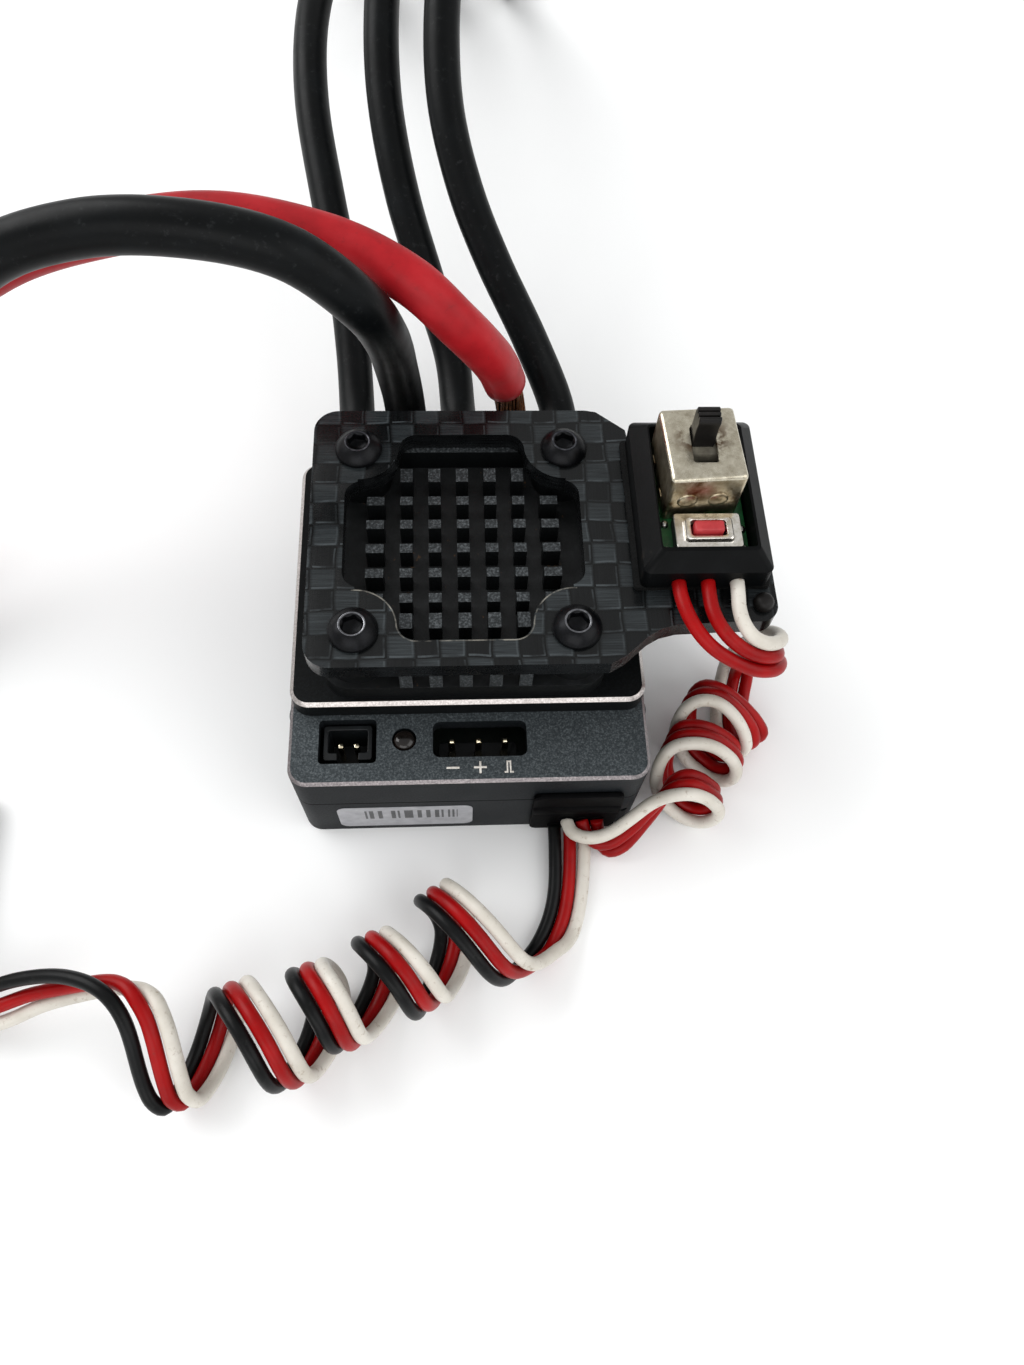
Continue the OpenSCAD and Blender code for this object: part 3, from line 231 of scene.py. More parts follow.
def soft_edges(ob, width, segs=2, angle=28, weld=True, mat=-1):
    """Joins the facets of a machined part into whole faces, then rounds its edges."""
    if weld:
        w = ob.modifiers.new("weld", "WELD")
        w.merge_threshold = 2e-6
        d = ob.modifiers.new("faces", "DECIMATE")
        d.decimate_type = "DISSOLVE"
        d.angle_limit = math.radians(1.0)
        d.delimit = {"MATERIAL"}
    b = ob.modifiers.new("edges", "BEVEL")
    b.width = width * MM
    b.segments = segs
    b.limit_method = "ANGLE"
    b.angle_limit = math.radians(angle)
    b.use_clamp_overlap = True
    b.harden_normals = False
    b.miter_outer = "MITER_ARC"
    if mat >= 0:
        b.material = mat
    n = ob.modifiers.new("normals", "WEIGHTED_NORMAL")
    n.keep_sharp = False
    n.weight = 80
    for p in ob.data.polygons:
        p.use_smooth = True
    return ob

# ------------------------------------------------------------------ materials
def srgb(h):
    c = [int(h[i:i + 2], 16) / 255 for i in (1, 3, 5)]
    return tuple((x / 12.92 if x <= 0.04045 else ((x + 0.055) / 1.055) ** 2.4) for x in c) + (1.0,)

class Mat:
    def __init__(self, name):
        self.m = bpy.data.materials.new(name)
        self.m.use_nodes = True
        self.t = self.m.node_tree
        self.p = self.t.nodes["Principled BSDF"]
        self.co = self.t.nodes.new("ShaderNodeTexCoord").outputs["Object"]

    def set(self, **kw):
        for k, v in kw.items():
            self.p.inputs[k.replace("_", " ")].default_value = v
        return self

    def link(self, a, b):
        self.t.links.new(a, b)

    def node(self, kind, **kw):
        n = self.t.nodes.new(kind)
        for k, v in kw.items():
            setattr(n, k, v)
        return n

    def noise(self, scale, detail=3, rough=0.55, stretch=None, dist=0.0, off=(0, 0, 0)):
        src = self.co
        mp = self.node("ShaderNodeMapping")
        mp.inputs["Scale"].default_value = stretch or (1, 1, 1)
        mp.inputs["Location"].default_value = off
        self.link(src, mp.inputs["Vector"])
        n = self.node("ShaderNodeTexNoise")
        n.inputs["Scale"].default_value = scale
        n.inputs["Detail"].default_value = detail
        n.inputs["Roughness"].default_value = rough
        n.inputs["Distortion"].default_value = dist
        self.link(mp.outputs[0], n.inputs["Vector"])
        return n.outputs["Fac"]

    def ramp(self, fac, stops, interp="LINEAR"):
        r = self.node("ShaderNodeValToRGB")
        r.color_ramp.interpolation = interp
        e = r.color_ramp.elements
        while len(e) < len(stops):
            e.new(0.5)
        for el, (pos, col) in zip(e, stops):
            el.position = pos
            el.color = col if isinstance(col, tuple) else (srgb(col) if isinstance(col, str) else (col, col, col, 1))
        self.link(fac, r.inputs["Fac"])
        return r.outputs["Color"]

    def mix(self, fac, a, b, mode="MIX"):
        n = self.node("ShaderNodeMix", data_type="RGBA", blend_type=mode)
        for sock, val in ((n.inputs[0], fac), (n.inputs[6], a), (n.inputs[7], b)):
            if isinstance(val, bpy.types.NodeSocket):
                self.link(val, sock)
            elif isinstance(val, str):
                sock.default_value = srgb(val)
            else:
                sock.default_value = val
        return n.outputs[2]

    def math(self, op, a, b=None, c=None):
        n = self.node("ShaderNodeMath", operation=op)
        for i, v in enumerate((a, b, c)):
            if v is None:
                continue
            if isinstance(v, bpy.types.NodeSocket):
                self.link(v, n.inputs[i])
            else:
                n.inputs[i].default_value = v
        return n.outputs[0]

    def xyz(self):
        n = self.node("ShaderNodeSeparateXYZ")
        self.link(self.co, n.inputs[0])
        return n.outputs

    def bump(self, height, strength, dist):
        n = self.node("ShaderNodeBump")
        n.inputs["Strength"].default_value = strength
        n.inputs["Distance"].default_value = dist
        self.link(height, n.inputs["Height"])
        self.link(n.outputs[0], self.p.inputs["Normal"])
        return self

    def color(self, sock):
        self.link(sock, self.p.inputs["Base Color"])
        return self

    def rough(self, sock):
        self.link(sock, self.p.inputs["Roughness"])
        return self

def rough_range(m, fac, lo, hi):
    n = m.node("ShaderNodeMapRange")
    m.link(fac, n.inputs["Value"])
    n.inputs["From Min"].default_value = 0.25
    n.inputs["From Max"].default_value = 0.75
    n.inputs["To Min"].default_value = lo
    n.inputs["To Max"].default_value = hi
    return n.outputs[0]

def blasted(name, dark, mid, light, metallic=0.55, lo=0.42, hi=0.62, spec=0.5, bump=0.35, size=5200, seam=None):
    """Bead-blasted anodised aluminium: a fine speckle under a thin satin film."""
    m = Mat(name)
    f = m.noise(size, 3, 0.75)
    g = m.noise(90, 3, 0.5)
    c = m.ramp(f, [(0.30, dark), (0.50, mid), (0.68, light)])
    c = m.mix(m.math("MULTIPLY", g, 0.35), c, dark)
    if seam:
        z = m.xyz()[2]
        k = m.math("LESS_THAN", m.math("ABSOLUTE", m.math("SUBTRACT", z, seam)), 0.00008)
        c = m.mix(k, c, "#010101")
        m.link(m.math("MULTIPLY", m.math("SUBTRACT", 1.0, k), metallic), m.p.inputs["Metallic"])
    m.color(c)
    m.rough(m.math("MAXIMUM", rough_range(m, g, lo, hi), k) if seam else rough_range(m, g, lo, hi))
    m.set(Metallic=metallic, Specular_IOR_Level=spec)
    m.bump(f, bump, 0.00004)
    return m.m

def plain(name, base, dark, light=None, rough=(0.35, 0.5), scale=400, metallic=0.0, spec=0.5, bump=0.12, dist=0.00005, dirt=None, dirt_scale=180, dirt_cut=(0.6, 0.72), coat=0.0, size=None, sheen=0.0):
    """Moulded or drawn surface with mottled tone, worn gloss and optional dirt."""
    m = Mat(name)
    f = m.noise(scale, 4, 0.6)
    g = m.noise(scale * 0.17, 3, 0.5, off=(3.1, 1.7, 0.4))
    c = m.ramp(f, [(0.25, dark), (0.55, base), (0.8, light or base)])
    if dirt:
        d = m.noise(dirt_scale, 5, 0.62, off=(7.3, 2.2, 5.1))
        c = m.mix(m.ramp(d, [(dirt_cut[0], 0.0), (dirt_cut[1], 1.0)]), c, dirt)
    m.color(c)
    m.rough(rough_range(m, g, *rough))
    m.set(Metallic=metallic, Specular_IOR_Level=spec, Coat_Weight=coat)
    if sheen:
        m.set(Sheen_Weight=sheen)
    h = m.noise(size or scale * 5, 3, 0.6)
    m.bump(h, bump, dist)
    return m.m

def carbon():
    """Plain-woven carbon laminate in clear resin: square tows with fibre streaks along each."""
    m = Mat("carbon_weave")
    x, y, z = m.xyz()
    pitch = 0.00236
    # tows wander a little
    wob = m.math("MULTIPLY", m.math("SUBTRACT", m.noise(160, 2, 0.5), 0.5), 0.0009)
    wob2 = m.math("MULTIPLY", m.math("SUBTRACT", m.noise(160, 2, 0.5, off=(4, 9, 2)), 0.5), 0.0009)
    u = m.math("DIVIDE", m.math("ADD", m.math("ADD", x, wob), 0.2 + 0.0008), pitch)
    v = m.math("DIVIDE", m.math("ADD", m.math("ADD", y, wob2), 0.2 + 0.0003), pitch)
    fu, fv = m.math("FRACT", u), m.math("FRACT", v)
    par = m.math("MODULO", m.math("ADD", m.math("FLOOR", u), m.math("FLOOR", v)), 2.0)
    par = m.math("GREATER_THAN", par, 0.5)
    su = m.noise(1, 2, 0.6, stretch=(9000, 260, 260))
    sv = m.noise(1, 2, 0.6, stretch=(260, 9000, 260))
    warp = m.ramp(su, [(0.3, "#08090A"), (0.7, "#111314")])
    weft = m.ramp(sv, [(0.3, "#1A1D1F"), (0.7, "#33383A")])
    c = m.mix(par, warp, weft)
    # tow edges dip, and their colour is painted darker there as shade on the rounded tows' flanks
    def edge(f):
        a = m.math("ABSOLUTE", m.math("SUBTRACT", f, 0.5))
        return m.math("SMOOTH_MIN", 1.0, m.math("MULTIPLY", m.math("SUBTRACT", 0.5, a), 9.0), 0.2)
    eu, ev = edge(fu), edge(fv)
    seam = m.math("MULTIPLY", eu, ev)
    c = m.mix(seam, m.mix(0.7, c, "#030404"), c)
    # painted highlight: each tow's near edge, and more faintly one flank, is painted lighter as if it stood a little
    # proud and caught the light
    def band(f, lo, hi):
        return m.math("MULTIPLY", m.math("GREATER_THAN", f, lo), m.math("LESS_THAN", f, hi))
    near = m.math("MULTIPLY", band(fv, 0.05, 0.13), band(fu, 0.08, 0.92))
    flank = m.math("MULTIPLY", band(fu, 0.87, 0.94), band(fv, 0.08, 0.9))
    ridge = m.math("MULTIPLY", m.math("MAXIMUM", near, m.math("MULTIPLY", flank, 0.6)), m.ramp(m.noise(420, 3, 0.6, off=(3, 3, 1)), [(0.42, 0.12), (0.6, 0.62)]))
    c = m.mix(ridge, c, "#4C5255")
    tone = m.noise(130, 2, 0.5, off=(2, 2, 2))
    c = m.mix(m.ramp(tone, [(0.42, 0.0), (0.75, 0.5)]), c, "#0C0E0F")
    # laminate plies on the cut sides
    geo = m.node("ShaderNodeNewGeometry")
    nz = m.node("ShaderNodeSeparateXYZ")
    m.link(geo.outputs["True Normal"], nz.inputs[0])
    side = m.math("LESS_THAN", m.math("ABSOLUTE", nz.outputs[2]), 0.6)
    ply = m.noise(1, 3, 0.6, stretch=(300, 300, 9000))
    c = m.mix(side, c, m.ramp(ply, [(0.35, "#050506"), (0.65, "#121415")]))
    # painted highlight: a bright line painted along the front lips of the opening, standing for the chamfer's
    # reflection
    def lip(px, py, r):
        dd = m.math("SQRT", m.math("ADD", m.math("POWER", m.math("SUBTRACT", x, px), 2.0), m.math("POWER", m.math("SUBTRACT", y, py), 2.0)))
        return m.math("LESS_THAN", m.math("ABSOLUTE", m.math("SUBTRACT", dd, r)), 0.00006)
    inx = m.math("LESS_THAN", m.math("ABSOLUTE", m.math("ADD", x, 0.0003)), 0.0103)
    arcs = m.math("MULTIPLY", m.math("MAXIMUM", lip(-0.0103, -0.0059, 0.00380), lip(0.0097, -0.0059, 0.00380)), inx)
    arcs = m.math("MULTIPLY", arcs, m.math("GREATER_THAN", y, -0.0059))
    ends = m.math("MULTIPLY", m.math("MAXIMUM", lip(-0.0047, -0.0056, 0.00180), lip(0.0041, -0.0056, 0.00180)), m.math("MULTIPLY", m.math("LESS_THAN", y, -0.0056), m.math("GREATER_THAN", m.math("ABSOLUTE", m.math("ADD", x, 0.0003)), 0.0044)))
    arcs = m.math("MAXIMUM", arcs, ends)
    bar = m.math("MULTIPLY", m.math("LESS_THAN", m.math("ABSOLUTE", m.math("ADD", y, 0.00740)), 0.00006), m.math("LESS_THAN", m.math("ABSOLUTE", m.math("ADD", x, 0.0003)), 0.0045))
    topf = m.math("GREATER_THAN", nz.outputs[2], 0.3)
    painted_lip_highlight = m.math("MULTIPLY", m.math("MULTIPLY", m.math("MAXIMUM", arcs, bar), topf), m.ramp(m.noise(700, 3, 0.6, off=(1, 2, 8)), [(0.40, 0.0), (0.62, 0.62)]))
    c = m.mix(painted_lip_highlight, c, "#9C988E")
    m.color(c)
    # dust and scuffs on the resin
    sc = m.noise(1, 3, 0.7, stretch=(900, 2600, 900))
    m.rough(rough_range(m, sc, 0.2, 0.36))
    m.set(Metallic=0.0, Specular_IOR_Level=0.16, Coat_Weight=0.2, Coat_Roughness=0.12)
    hu = m.math("MULTIPLY", m.math("SUBTRACT", 0.25, m.math("POWER", m.math("ABSOLUTE", m.math("SUBTRACT", fu, 0.5)), 2.0)), m.math("SUBTRACT", 1.0, par))
    hv = m.math("MULTIPLY", m.math("SUBTRACT", 0.25, m.math("POWER", m.math("ABSOLUTE", m.math("SUBTRACT", fv, 0.5)), 2.0)), par)
    m.bump(m.math("ADD", hu, hv), 0.6, 0.00026)
    return m.m

def can_metal():
    """Tin-plated switch can: warm silver, handled, with brown flux stains round the slot."""
    m = Mat("can_tinplate")
    x, y, z = m.xyz()
    f = m.noise(1500, 4, 0.7)
    c = m.ramp(f, [(0.3, "#ADA591"), (0.7, "#D8D2C0")])
    dx = m.math("SUBTRACT", x, 0.0213)
    dy = m.math("SUBTRACT", y, 0.0086)
    rad = m.math("SQRT", m.math("ADD", m.math("POWER", dx, 2.0), m.math("POWER", dy, 2.0)))
    near = m.ramp(m.math("MULTIPLY", rad, 300.0), [(0.42, 1.0), (0.95, 0.0)])
    st = m.noise(620, 5, 0.65, off=(5, 1, 3))
    st = m.ramp(st, [(0.47, 0.0), (0.57, 1.0)])
    k = m.math("MULTIPLY", st, near)
    c = m.mix(k, c, "#4A2F17")
    low = m.ramp(m.math("MULTIPLY", m.math("SUBTRACT", z, 0.0246), 150.0), [(0.0, 0.7), (0.95, 0.0)])
    c = m.mix(m.math("MULTIPLY", low, m.ramp(m.noise(500, 4, 0.6), [(0.35, 0.3), (0.6, 1.0)])), c, "#6A5334")
    m.color(c)
    m.rough(m.math("ADD", rough_range(m, m.noise(900, 4, 0.7, off=(1, 4, 2)), 0.2, 0.36), m.math("MULTIPLY", k, 0.3)))
    m.set(Metallic=1.0)
    m.bump(m.noise(700, 3, 0.5), 0.10, 0.0001)
    return m.m

def silicone(name, dark, base, light, rough=(0.32, 0.46), dust="#6B6E70", dust_amt=0.07, spec=0.1):
    """Silicone jacket: soft satin skin, dust and handling marks."""
    m = Mat(name)
    f = m.noise(220, 4, 0.55)
    c = m.ramp(f, [(0.3, dark), (0.55, base), (0.8, light)])
    d = m.noise(1400, 5, 0.7, off=(2, 8, 1))
    c = m.mix(m.math("MULTIPLY", m.ramp(d, [(0.58, 0.0), (0.7, 1.0)]), dust_amt), c, dust)
    m.color(c)
    m.rough(rough_range(m, m.noise(350, 4, 0.6, off=(6, 1, 1)), *rough))
    m.set(Specular_IOR_Level=spec)
    m.bump(m.noise(900, 4, 0.6), 0.16, 0.00006)
    return m.m

def label_mat():
    m = Mat("label_film")
    x, y, z = m.xyz()
    f = m.noise(900, 4, 0.6)
    c = m.ramp(f, [(0.3, "#8F9095"), (0.7, "#A8A9AD")])
    # a plain row of ticks, carrying nothing
    n = m.noise(1, 0, 0.5, stretch=(2300, 0, 0), off=(0.2, 0, 0))
    bars = m.math("GREATER_THAN", n, 0.5)
    inx = m.math("LESS_THAN", m.math("ABSOLUTE", m.math("ADD", x, 0.0062)), 0.0049)
    inz = m.math("LESS_THAN", m.math("ABSOLUTE", m.math("SUBTRACT", z, 0.0046)), 0.0012)
    k = m.math("MULTIPLY", m.math("MULTIPLY", bars, inx), inz)
    c = m.mix(m.math("MULTIPLY", k, 0.9), c, "#1C1C1E")
    m.color(c)
    m.rough(rough_range(m, m.noise(500, 3, 0.5), 0.35, 0.5))
    m.bump(f, 0.08, 0.00003)
    return m.m

M = {}
M["case"] = blasted("case_anodised", "#282D30", "#3D4346", "#666D70", 0.45, 0.42, 0.58, 0.3)
# side walls: the deck's anodised metal painted darker as shade, with a dark seam line at 8 mm height
M["case_wall"] = blasted("case_wall_painted_shade_with_seam", "#101315", "#191C1F", "#2B2F32", 0.3, 0.45, 0.6, 0.08, seam=0.008)
M["edge"] = blasted("edge_bare_metal", "#8C8683", "#B3ADAA", "#D3CECB", 0.9, 0.28, 0.4, bump=0.1)
M["edge_soft"] = blasted("edge_rubbed", "#5E5A5B", "#857F80", "#A8A1A1", 0.8, 0.3, 0.42, bump=0.1)
M["sink"] = blasted("sink_black", "#060707", "#0B0D0E", "#15181A", 0.3, 0.45, 0.62, 0.15)
M["tips"] = blasted("sink_pin_tops_and_painted_fronts", "#1B1D1E", "#383C3E", "#6A6F72", 0.5, 0.45, 0.6, 0.35, bump=0.6, size=4200)
M["floor_sink"] = plain("sink_groove_floor", "#17191A", "#0E1011", "#242628", (0.45, 0.6), 700, 0.3, 0.4, 0.3, dirt="#4A3622", dirt_scale=1100, dirt_cut=(0.66, 0.72))
M["carbon"] = carbon()
M["screw"] = plain("screw_black_oxide", "#0C0D10", "#070809", "#15161A", (0.28, 0.42), 1600, 0.6, 0.3, 0.2, 0.00003)
M["rim"] = plain("screw_rim_wear_and_painted_highlight", "#7B7C80", "#3A3B40", "#A6A7AA", (0.2, 0.3), 2200, 0.95, 0.5, 0.2, 0.00003)
M["plastic"] = plain("housing_plastic", "#121517", "#0B0D0E", "#1B1F22", (0.34, 0.48), 420, 0, 0.3, 0.18, dirt="#3A3530", dirt_scale=420, dirt_cut=(0.66, 0.8))
M["housing"] = plain("housing_black", "#060708", "#030404", "#0B0D0E", (0.34, 0.5), 420, 0, 0.08, 0.2, dirt="#26221E", dirt_scale=420, dirt_cut=(0.66, 0.8))
M["lever"] = plain("lever_plastic", "#12100F", "#0A0908", "#1E1B19", (0.35, 0.5), 700, 0, 0.2, 0.2)
M["rubber"] = plain("grommet_rubber", "#040405", "#020202", "#08090A", (0.5, 0.65), 500, 0, 0.04, 0.2)
M["foam"] = plain("foam_black", "#070808", "#030303", "#101112", (0.8, 0.95), 1500, 0, 0.2, 0.9, 0.0002, size=3200)
M["red_button"] = plain("button_red", "#B23237", "#992329", "#C2474A", (0.35, 0.5), 700, 0, 0.45, 0.12)
M["can"] = can_metal()
M["can_side"] = plain("can_side_bronze", "#B3A78E", "#8C7C5E", "#D6CFBC", (0.26, 0.4), 900, 1.0, 0.5, 0.2, dirt="#6A5236", dirt_scale=520, dirt_cut=(0.52, 0.66))
M["cover"] = plain("tact_cover_nickel", "#E2DED6", "#BEB8AA", "#F2EFE8", (0.2, 0.34), 1500, 1.0, 0.5, 0.25, dirt="#5B4630", dirt_scale=900, dirt_cut=(0.62, 0.72))
M["pcb_dark"] = plain("pcb_black_mask", "#0C1611", "#070C0A", "#16241C", (0.3, 0.45), 900, 0, 0.5, 0.2)
M["pcb"] = plain("pcb_green", "#0E5A2C", "#083A1B", "#1A7A3F", (0.25, 0.4), 900, 0, 0.5, 0.2)
M["gold"] = plain("pin_gold", "#F0E4C6", "#D6C190", "#FBF5E6", (0.12, 0.22), 1800, 1.0, 0.5, 0.08)
M["bullet"] = plain("bullet_gold", "#D8AE55", "#B4862F", "#EFD08A", (0.12, 0.24), 900, 1.0, 0.5, 0.08)
M["tin"] = plain("tinned", "#B6B5AE", "#8A8983", "#D8D7D0", (0.22, 0.36), 1200, 1.0, 0.5, 0.15)
M["copper"] = plain("copper_strand", "#8A5A3A", "#4A3020", "#C08A5A", (0.25, 0.4), 2500, 1.0, 0.5, 0.2)
M["steel"] = plain("steel_dark", "#4A4C50", "#33353A", "#6A6C70", (0.3, 0.42), 1200, 0.95, 0.5, 0.15)
M["chip"] = plain("chip_epoxy", "#1B1C1E", "#121314", "#28292C", (0.5, 0.65), 1600, 0, 0.4, 0.3)
M["ceramic"] = plain("ceramic_tan", "#A88A62", "#8C7048", "#C0A67E", (0.4, 0.55), 1400, 0, 0.4, 0.2)
M["pad"] = plain("pad_grey", "#7C8790", "#66707A", "#8E99A2", (0.7, 0.85), 900, 0, 0.3, 0.3)
M["paint"] = plain("mark_paint", "#D2CDC6", "#A9A39B", "#E6E2DC", (0.5, 0.65), 3500, 0, 0.4, 0.2)
M["led"] = plain("led_smoked", "#15110F", "#0C0A09", "#2A211C", (0.12, 0.2), 900, 0, 0.3, 0.05, coat=0.25)
M["label"] = label_mat()
M["sil_black"] = silicone("silicone_black", "#040506", "#07090A", "#0D1012")
M["sil_red"] = silicone("silicone_red", "#8C151B", "#A51B22", "#B0252B", (0.36, 0.5), "#5A1A1C", 0.3, 0.15)
M["w_black"] = silicone("lead_black", "#050606", "#090A0B", "#101213", (0.3, 0.42), "#5A5A58", 0.08, 0.15)
M["w_red"] = silicone("lead_red", "#7A0507", "#930709", "#A50D0E", (0.3, 0.42), "#6A2A20", 0.35, 0.15)
M["w_white"] = silicone("lead_white", "#BAB4A8", "#CDC8BE", "#DAD6CD", (0.32, 0.45), "#7A5F3E", 0.55, 0.4)
M["shrink_black"] = plain("shrink_black", "#111213", "#0A0A0B", "#1C1D1F", (0.3, 0.42), 500, 0, 0.5, 0.25)
M["shrink_red"] = plain("shrink_red", "#9E1F26", "#7C161C", "#B8343A", (0.3, 0.42), 500, 0, 0.5, 0.25)

# ------------------------------------------------------------------ cords
def skin(seed, amp=0.012):
    off = Vector((seed * 3.7, seed * 1.3, seed * 2.1))
    def f(s, a):
        return 1 + amp * noise.noise(off + Vector((math.cos(a) * 0.9, math.sin(a) * 0.9, s * 0.09))) * 2
    return f

def power_wire(name, route, od, mat, seed, node):
    pts = even(catmull(route, 14), 0.8)
    ob = tube(name, pts, od / 2, 28, mat, skin(seed))
    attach(ob, "controller")
    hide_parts(node)
    return ob

def bullet(tag, base, axis, mat_sleeve, od, first):
    """A bullet plug: shrink sleeve over the solder cup, then a slotted gold pin."""
    r = od / 2
    pr = [(r * 0.80, -1.6), (r * 0.93, -1.2), (r * 0.96, 0), (r, 0.5), (r * 1.0, 3), (r * 0.985, 6), (r * 1.0, 9), (r * 0.99, 12.2), (r * 0.95, 12.8), (r * 0.86, 13.0), (1.75, 12.9)]
    sl = lathe("plug_sleeve_" + tag, pr, base, axis, mat_sleeve, 36)
    prof = [(1.55, 11.5), (1.6, 13.05), (2.0, 13.1), (2.0, 13.9), (1.72, 14.1), (1.72, 14.5), (1.9, 14.9), (2.02, 16.2), (2.03, 17.2), (1.95, 18.4), (1.78, 19.1), (1.6, 19.5), (1.3, 20.0), (1.15, 20.3), (0.7, 20.4)]
    n = 48
    d = Vector(axis).normalized()
    u = Vector((0, 0, 1))
    v = d.cross(u)
    verts, faces = [], []
    for r_, h in prof:
        for k in range(n):
            a = 2 * math.pi * k / n
            rr = r_
            if 14.6 < h < 20.2 and (k % 12) in (0, 1):
                rr = r_ - 0.42
            verts.append(Vector(base) + d * h + (u * math.cos(a) + v * math.sin(a)) * rr)
    for i in range(len(prof) - 1):
        for k in range(n):
            a, b = i * n + k, i * n + (k + 1) % n
            faces.append((a, b, b + n, a + n))
    faces.append(tuple(range(n)))
    m = (len(prof) - 1) * n
    faces.append(tuple(m + k for k in range(n)))
    pin = smooth_by_angle(mesh_obj("plug_pin_" + tag, verts, faces, M["bullet"]), 40)
    for o in (sl, pin):
        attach(o, "controller")
    if first:
        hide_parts(first[0])
        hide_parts(first[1])
    return [sl, pin]

pa = bullet("motor_a", (-13, 132.1, 2.6), (0, 1, 0), M["shrink_black"], 5.0, ("motor_plug_sleeves", "motor_plug_pins"))
pb = bullet("motor_b", (-2, 129.6, 2.6), (0, 1, 0), M["shrink_black"], 5.0, None)
pc = bullet("motor_c", (9, 127.6, 2.6), (0, 1, 0), M["shrink_black"], 5.0, None)
pn = bullet("battery_negative", (-60.2, -15.1, 2.7), (0, -1, 0), M["shrink_black"], 5.2, ("battery_plug_sleeves", "battery_plug_pins"))
pp = bullet("battery_positive", (-68.7, -12.1, 2.7), (0, -1, 0), M["shrink_red"], 5.2, None)

power_wire("motor_cable_a", MOTOR_A, 4.0, M["sil_black"], 1, "motor_wire_a")
power_wire("motor_cable_b", MOTOR_B, 4.0, M["sil_black"], 2, "motor_wire_b")
power_wire("motor_cable_c", MOTOR_C, 4.0, M["sil_black"], 3, "motor_wire_c")
power_wire("battery_cable_negative", BATT_N, 4.5, M["sil_black"], 4, "battery_wire_negative")
power_wire("battery_cable_positive", BATT_P, 4.5, M["sil_red"], 5, "battery_wire_positive")

def thin_wire(name, route, mat, od, nodes=(), seed=0):
    pts = even(catmull(route, 6), 0.42)
    ob = tube(name, pts, od / 2, 16, mat, skin(seed, 0.008))
    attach(ob, "controller")
    if nodes:
        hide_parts(*nodes)
    return ob

def servo_plug():
    """Three-way receiver plug: bevelled shell, keyed edge, contact windows and crimps."""
    c = Vector((-52.7, -27.6, 0))
    a = math.radians(90)
    d = Vector((math.cos(a), math.sin(a), 0))
    s = Vector((-d.y, d.x, 0))
    L, W, H = 14.0, 7.7, 2.7
    def P(x, y, z):
        return c + d * x + s * y + Vector((0, 0, z))
    rings = []
    ys = W / 2
    for x, k in ((0, 0.93), (0.35, 1.0), (6.0, 1.0), (6.3, 0.965), (13.6, 0.965), (14.0, 0.90)):
        o = rbox_pts(W * k, H * k, 0.42, 4)
        rings.append([P(x, y, z + 0.02 + H / 2) for y, z in o])
    shell = stack("receiver_plug_shell", rings, M["plastic"])
    smooth_by_angle(shell, 30)
    out = [shell]
    verts, faces = [], []
    def bx(x0, x1, y0, y1, z0, z1):
        b = len(verts)
        for x in (x0, x1):
            for y in (y0, y1):
                for z in (z0, z1):
                    verts.append(P(x, y, z))
        faces.extend([tuple(b + i for i in f) for f in ((0, 1, 3, 2), (4, 6, 7, 5), (0, 4, 5, 1), (2, 3, 7, 6), (0, 2, 6, 4), (1, 5, 7, 3))])
    for i in (-1, 0, 1):
        bx(2.4, 5.2, i * 2.54 - 0.55, i * 2.54 + 0.55, H - 0.1, H + 0.06)
        bx(13.3, 14.02, i * 2.54 - 0.75, i * 2.54 + 0.75, 0.7, 2.2)
    w = mesh_obj("receiver_plug_crimps", verts, faces, M["tin"], False)
    out.append(w)
    for o in out:
        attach(o, "controller")
    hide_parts("receiver_plug")
    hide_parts("receiver_contacts")
    return out

rp = servo_plug()
thin_wire("receiver_wire_black", RX_BLACK, M["w_black"], 1.33, ("receiver_lead",), 11)
thin_wire("receiver_wire_red", RX_RED, M["w_red"], 1.33, ("receiver_lead_ends",), 12)
thin_wire("receiver_wire_white", RX_WHITE, M["w_white"], 1.33, ("receiver_lead_tail",), 13)
thin_wire("switch_wire_white", SWITCH_W, M["w_white"], 1.33, ("switch_lead",), 14)
thin_wire("switch_wire_red_inner", SWITCH_R1, M["w_red"], 1.33, ("switch_lead_top",), 15)
thin_wire("switch_wire_red_outer", SWITCH_R2, M["w_red"], 1.33, ("switch_lead_foot",), 16)

# ------------------------------------------------------------------ hard parts kept from the frame
def dress(node, mats, width=0.0, segs=2, angle=28, pick=None, weld=True, bevel_mat=-1):
    """Gives a kept node its materials, by face where pick says so, and rounds its edges."""
    ob = NODES[node]
    me = ob.data
    me.materials.clear()
    for m in mats:
        me.materials.append(m)
    for p in me.polygons:
        p.material_index = pick(p.center, p.normal) if pick else 0
    if width:
        soft_edges(ob, width, segs, angle, weld, bevel_mat)
    return ob

up = lambda n: n.z > 0.9

# top faces take the deck colour; steep side faces take the wall copy, the same metal painted darker as shade
def case_pick(c, n):
    if n.z > 0.9:
        return 0
    if n.z < 0.25:
        return 2
    return 1 if c.z > 0.0128 else 0

dress("lower_case", [M["case_wall"]], 0.12, 2)
dress("upper_case", [M["case"], M["edge_soft"], M["case_wall"]], 0.1, 2, pick=case_pick)

def sink_pick(c, n):
    if n.z > 0.9:
        if c.z > 0.0200:
            return 1
        if c.z > 0.0175:
            return 2
        return 0
    # the front faces of the front row of pins take the lighter top colour: a painted highlight where they face the
    # front light
    if n.y < -0.9 and c.y < -0.0095 and c.z > 0.0179 and abs(c.x) < 0.0068:
        return 1
    if 0.3 < n.z < 0.9 and c.z < 0.0160 and c.z > 0.0150:
        return 3
    return 0

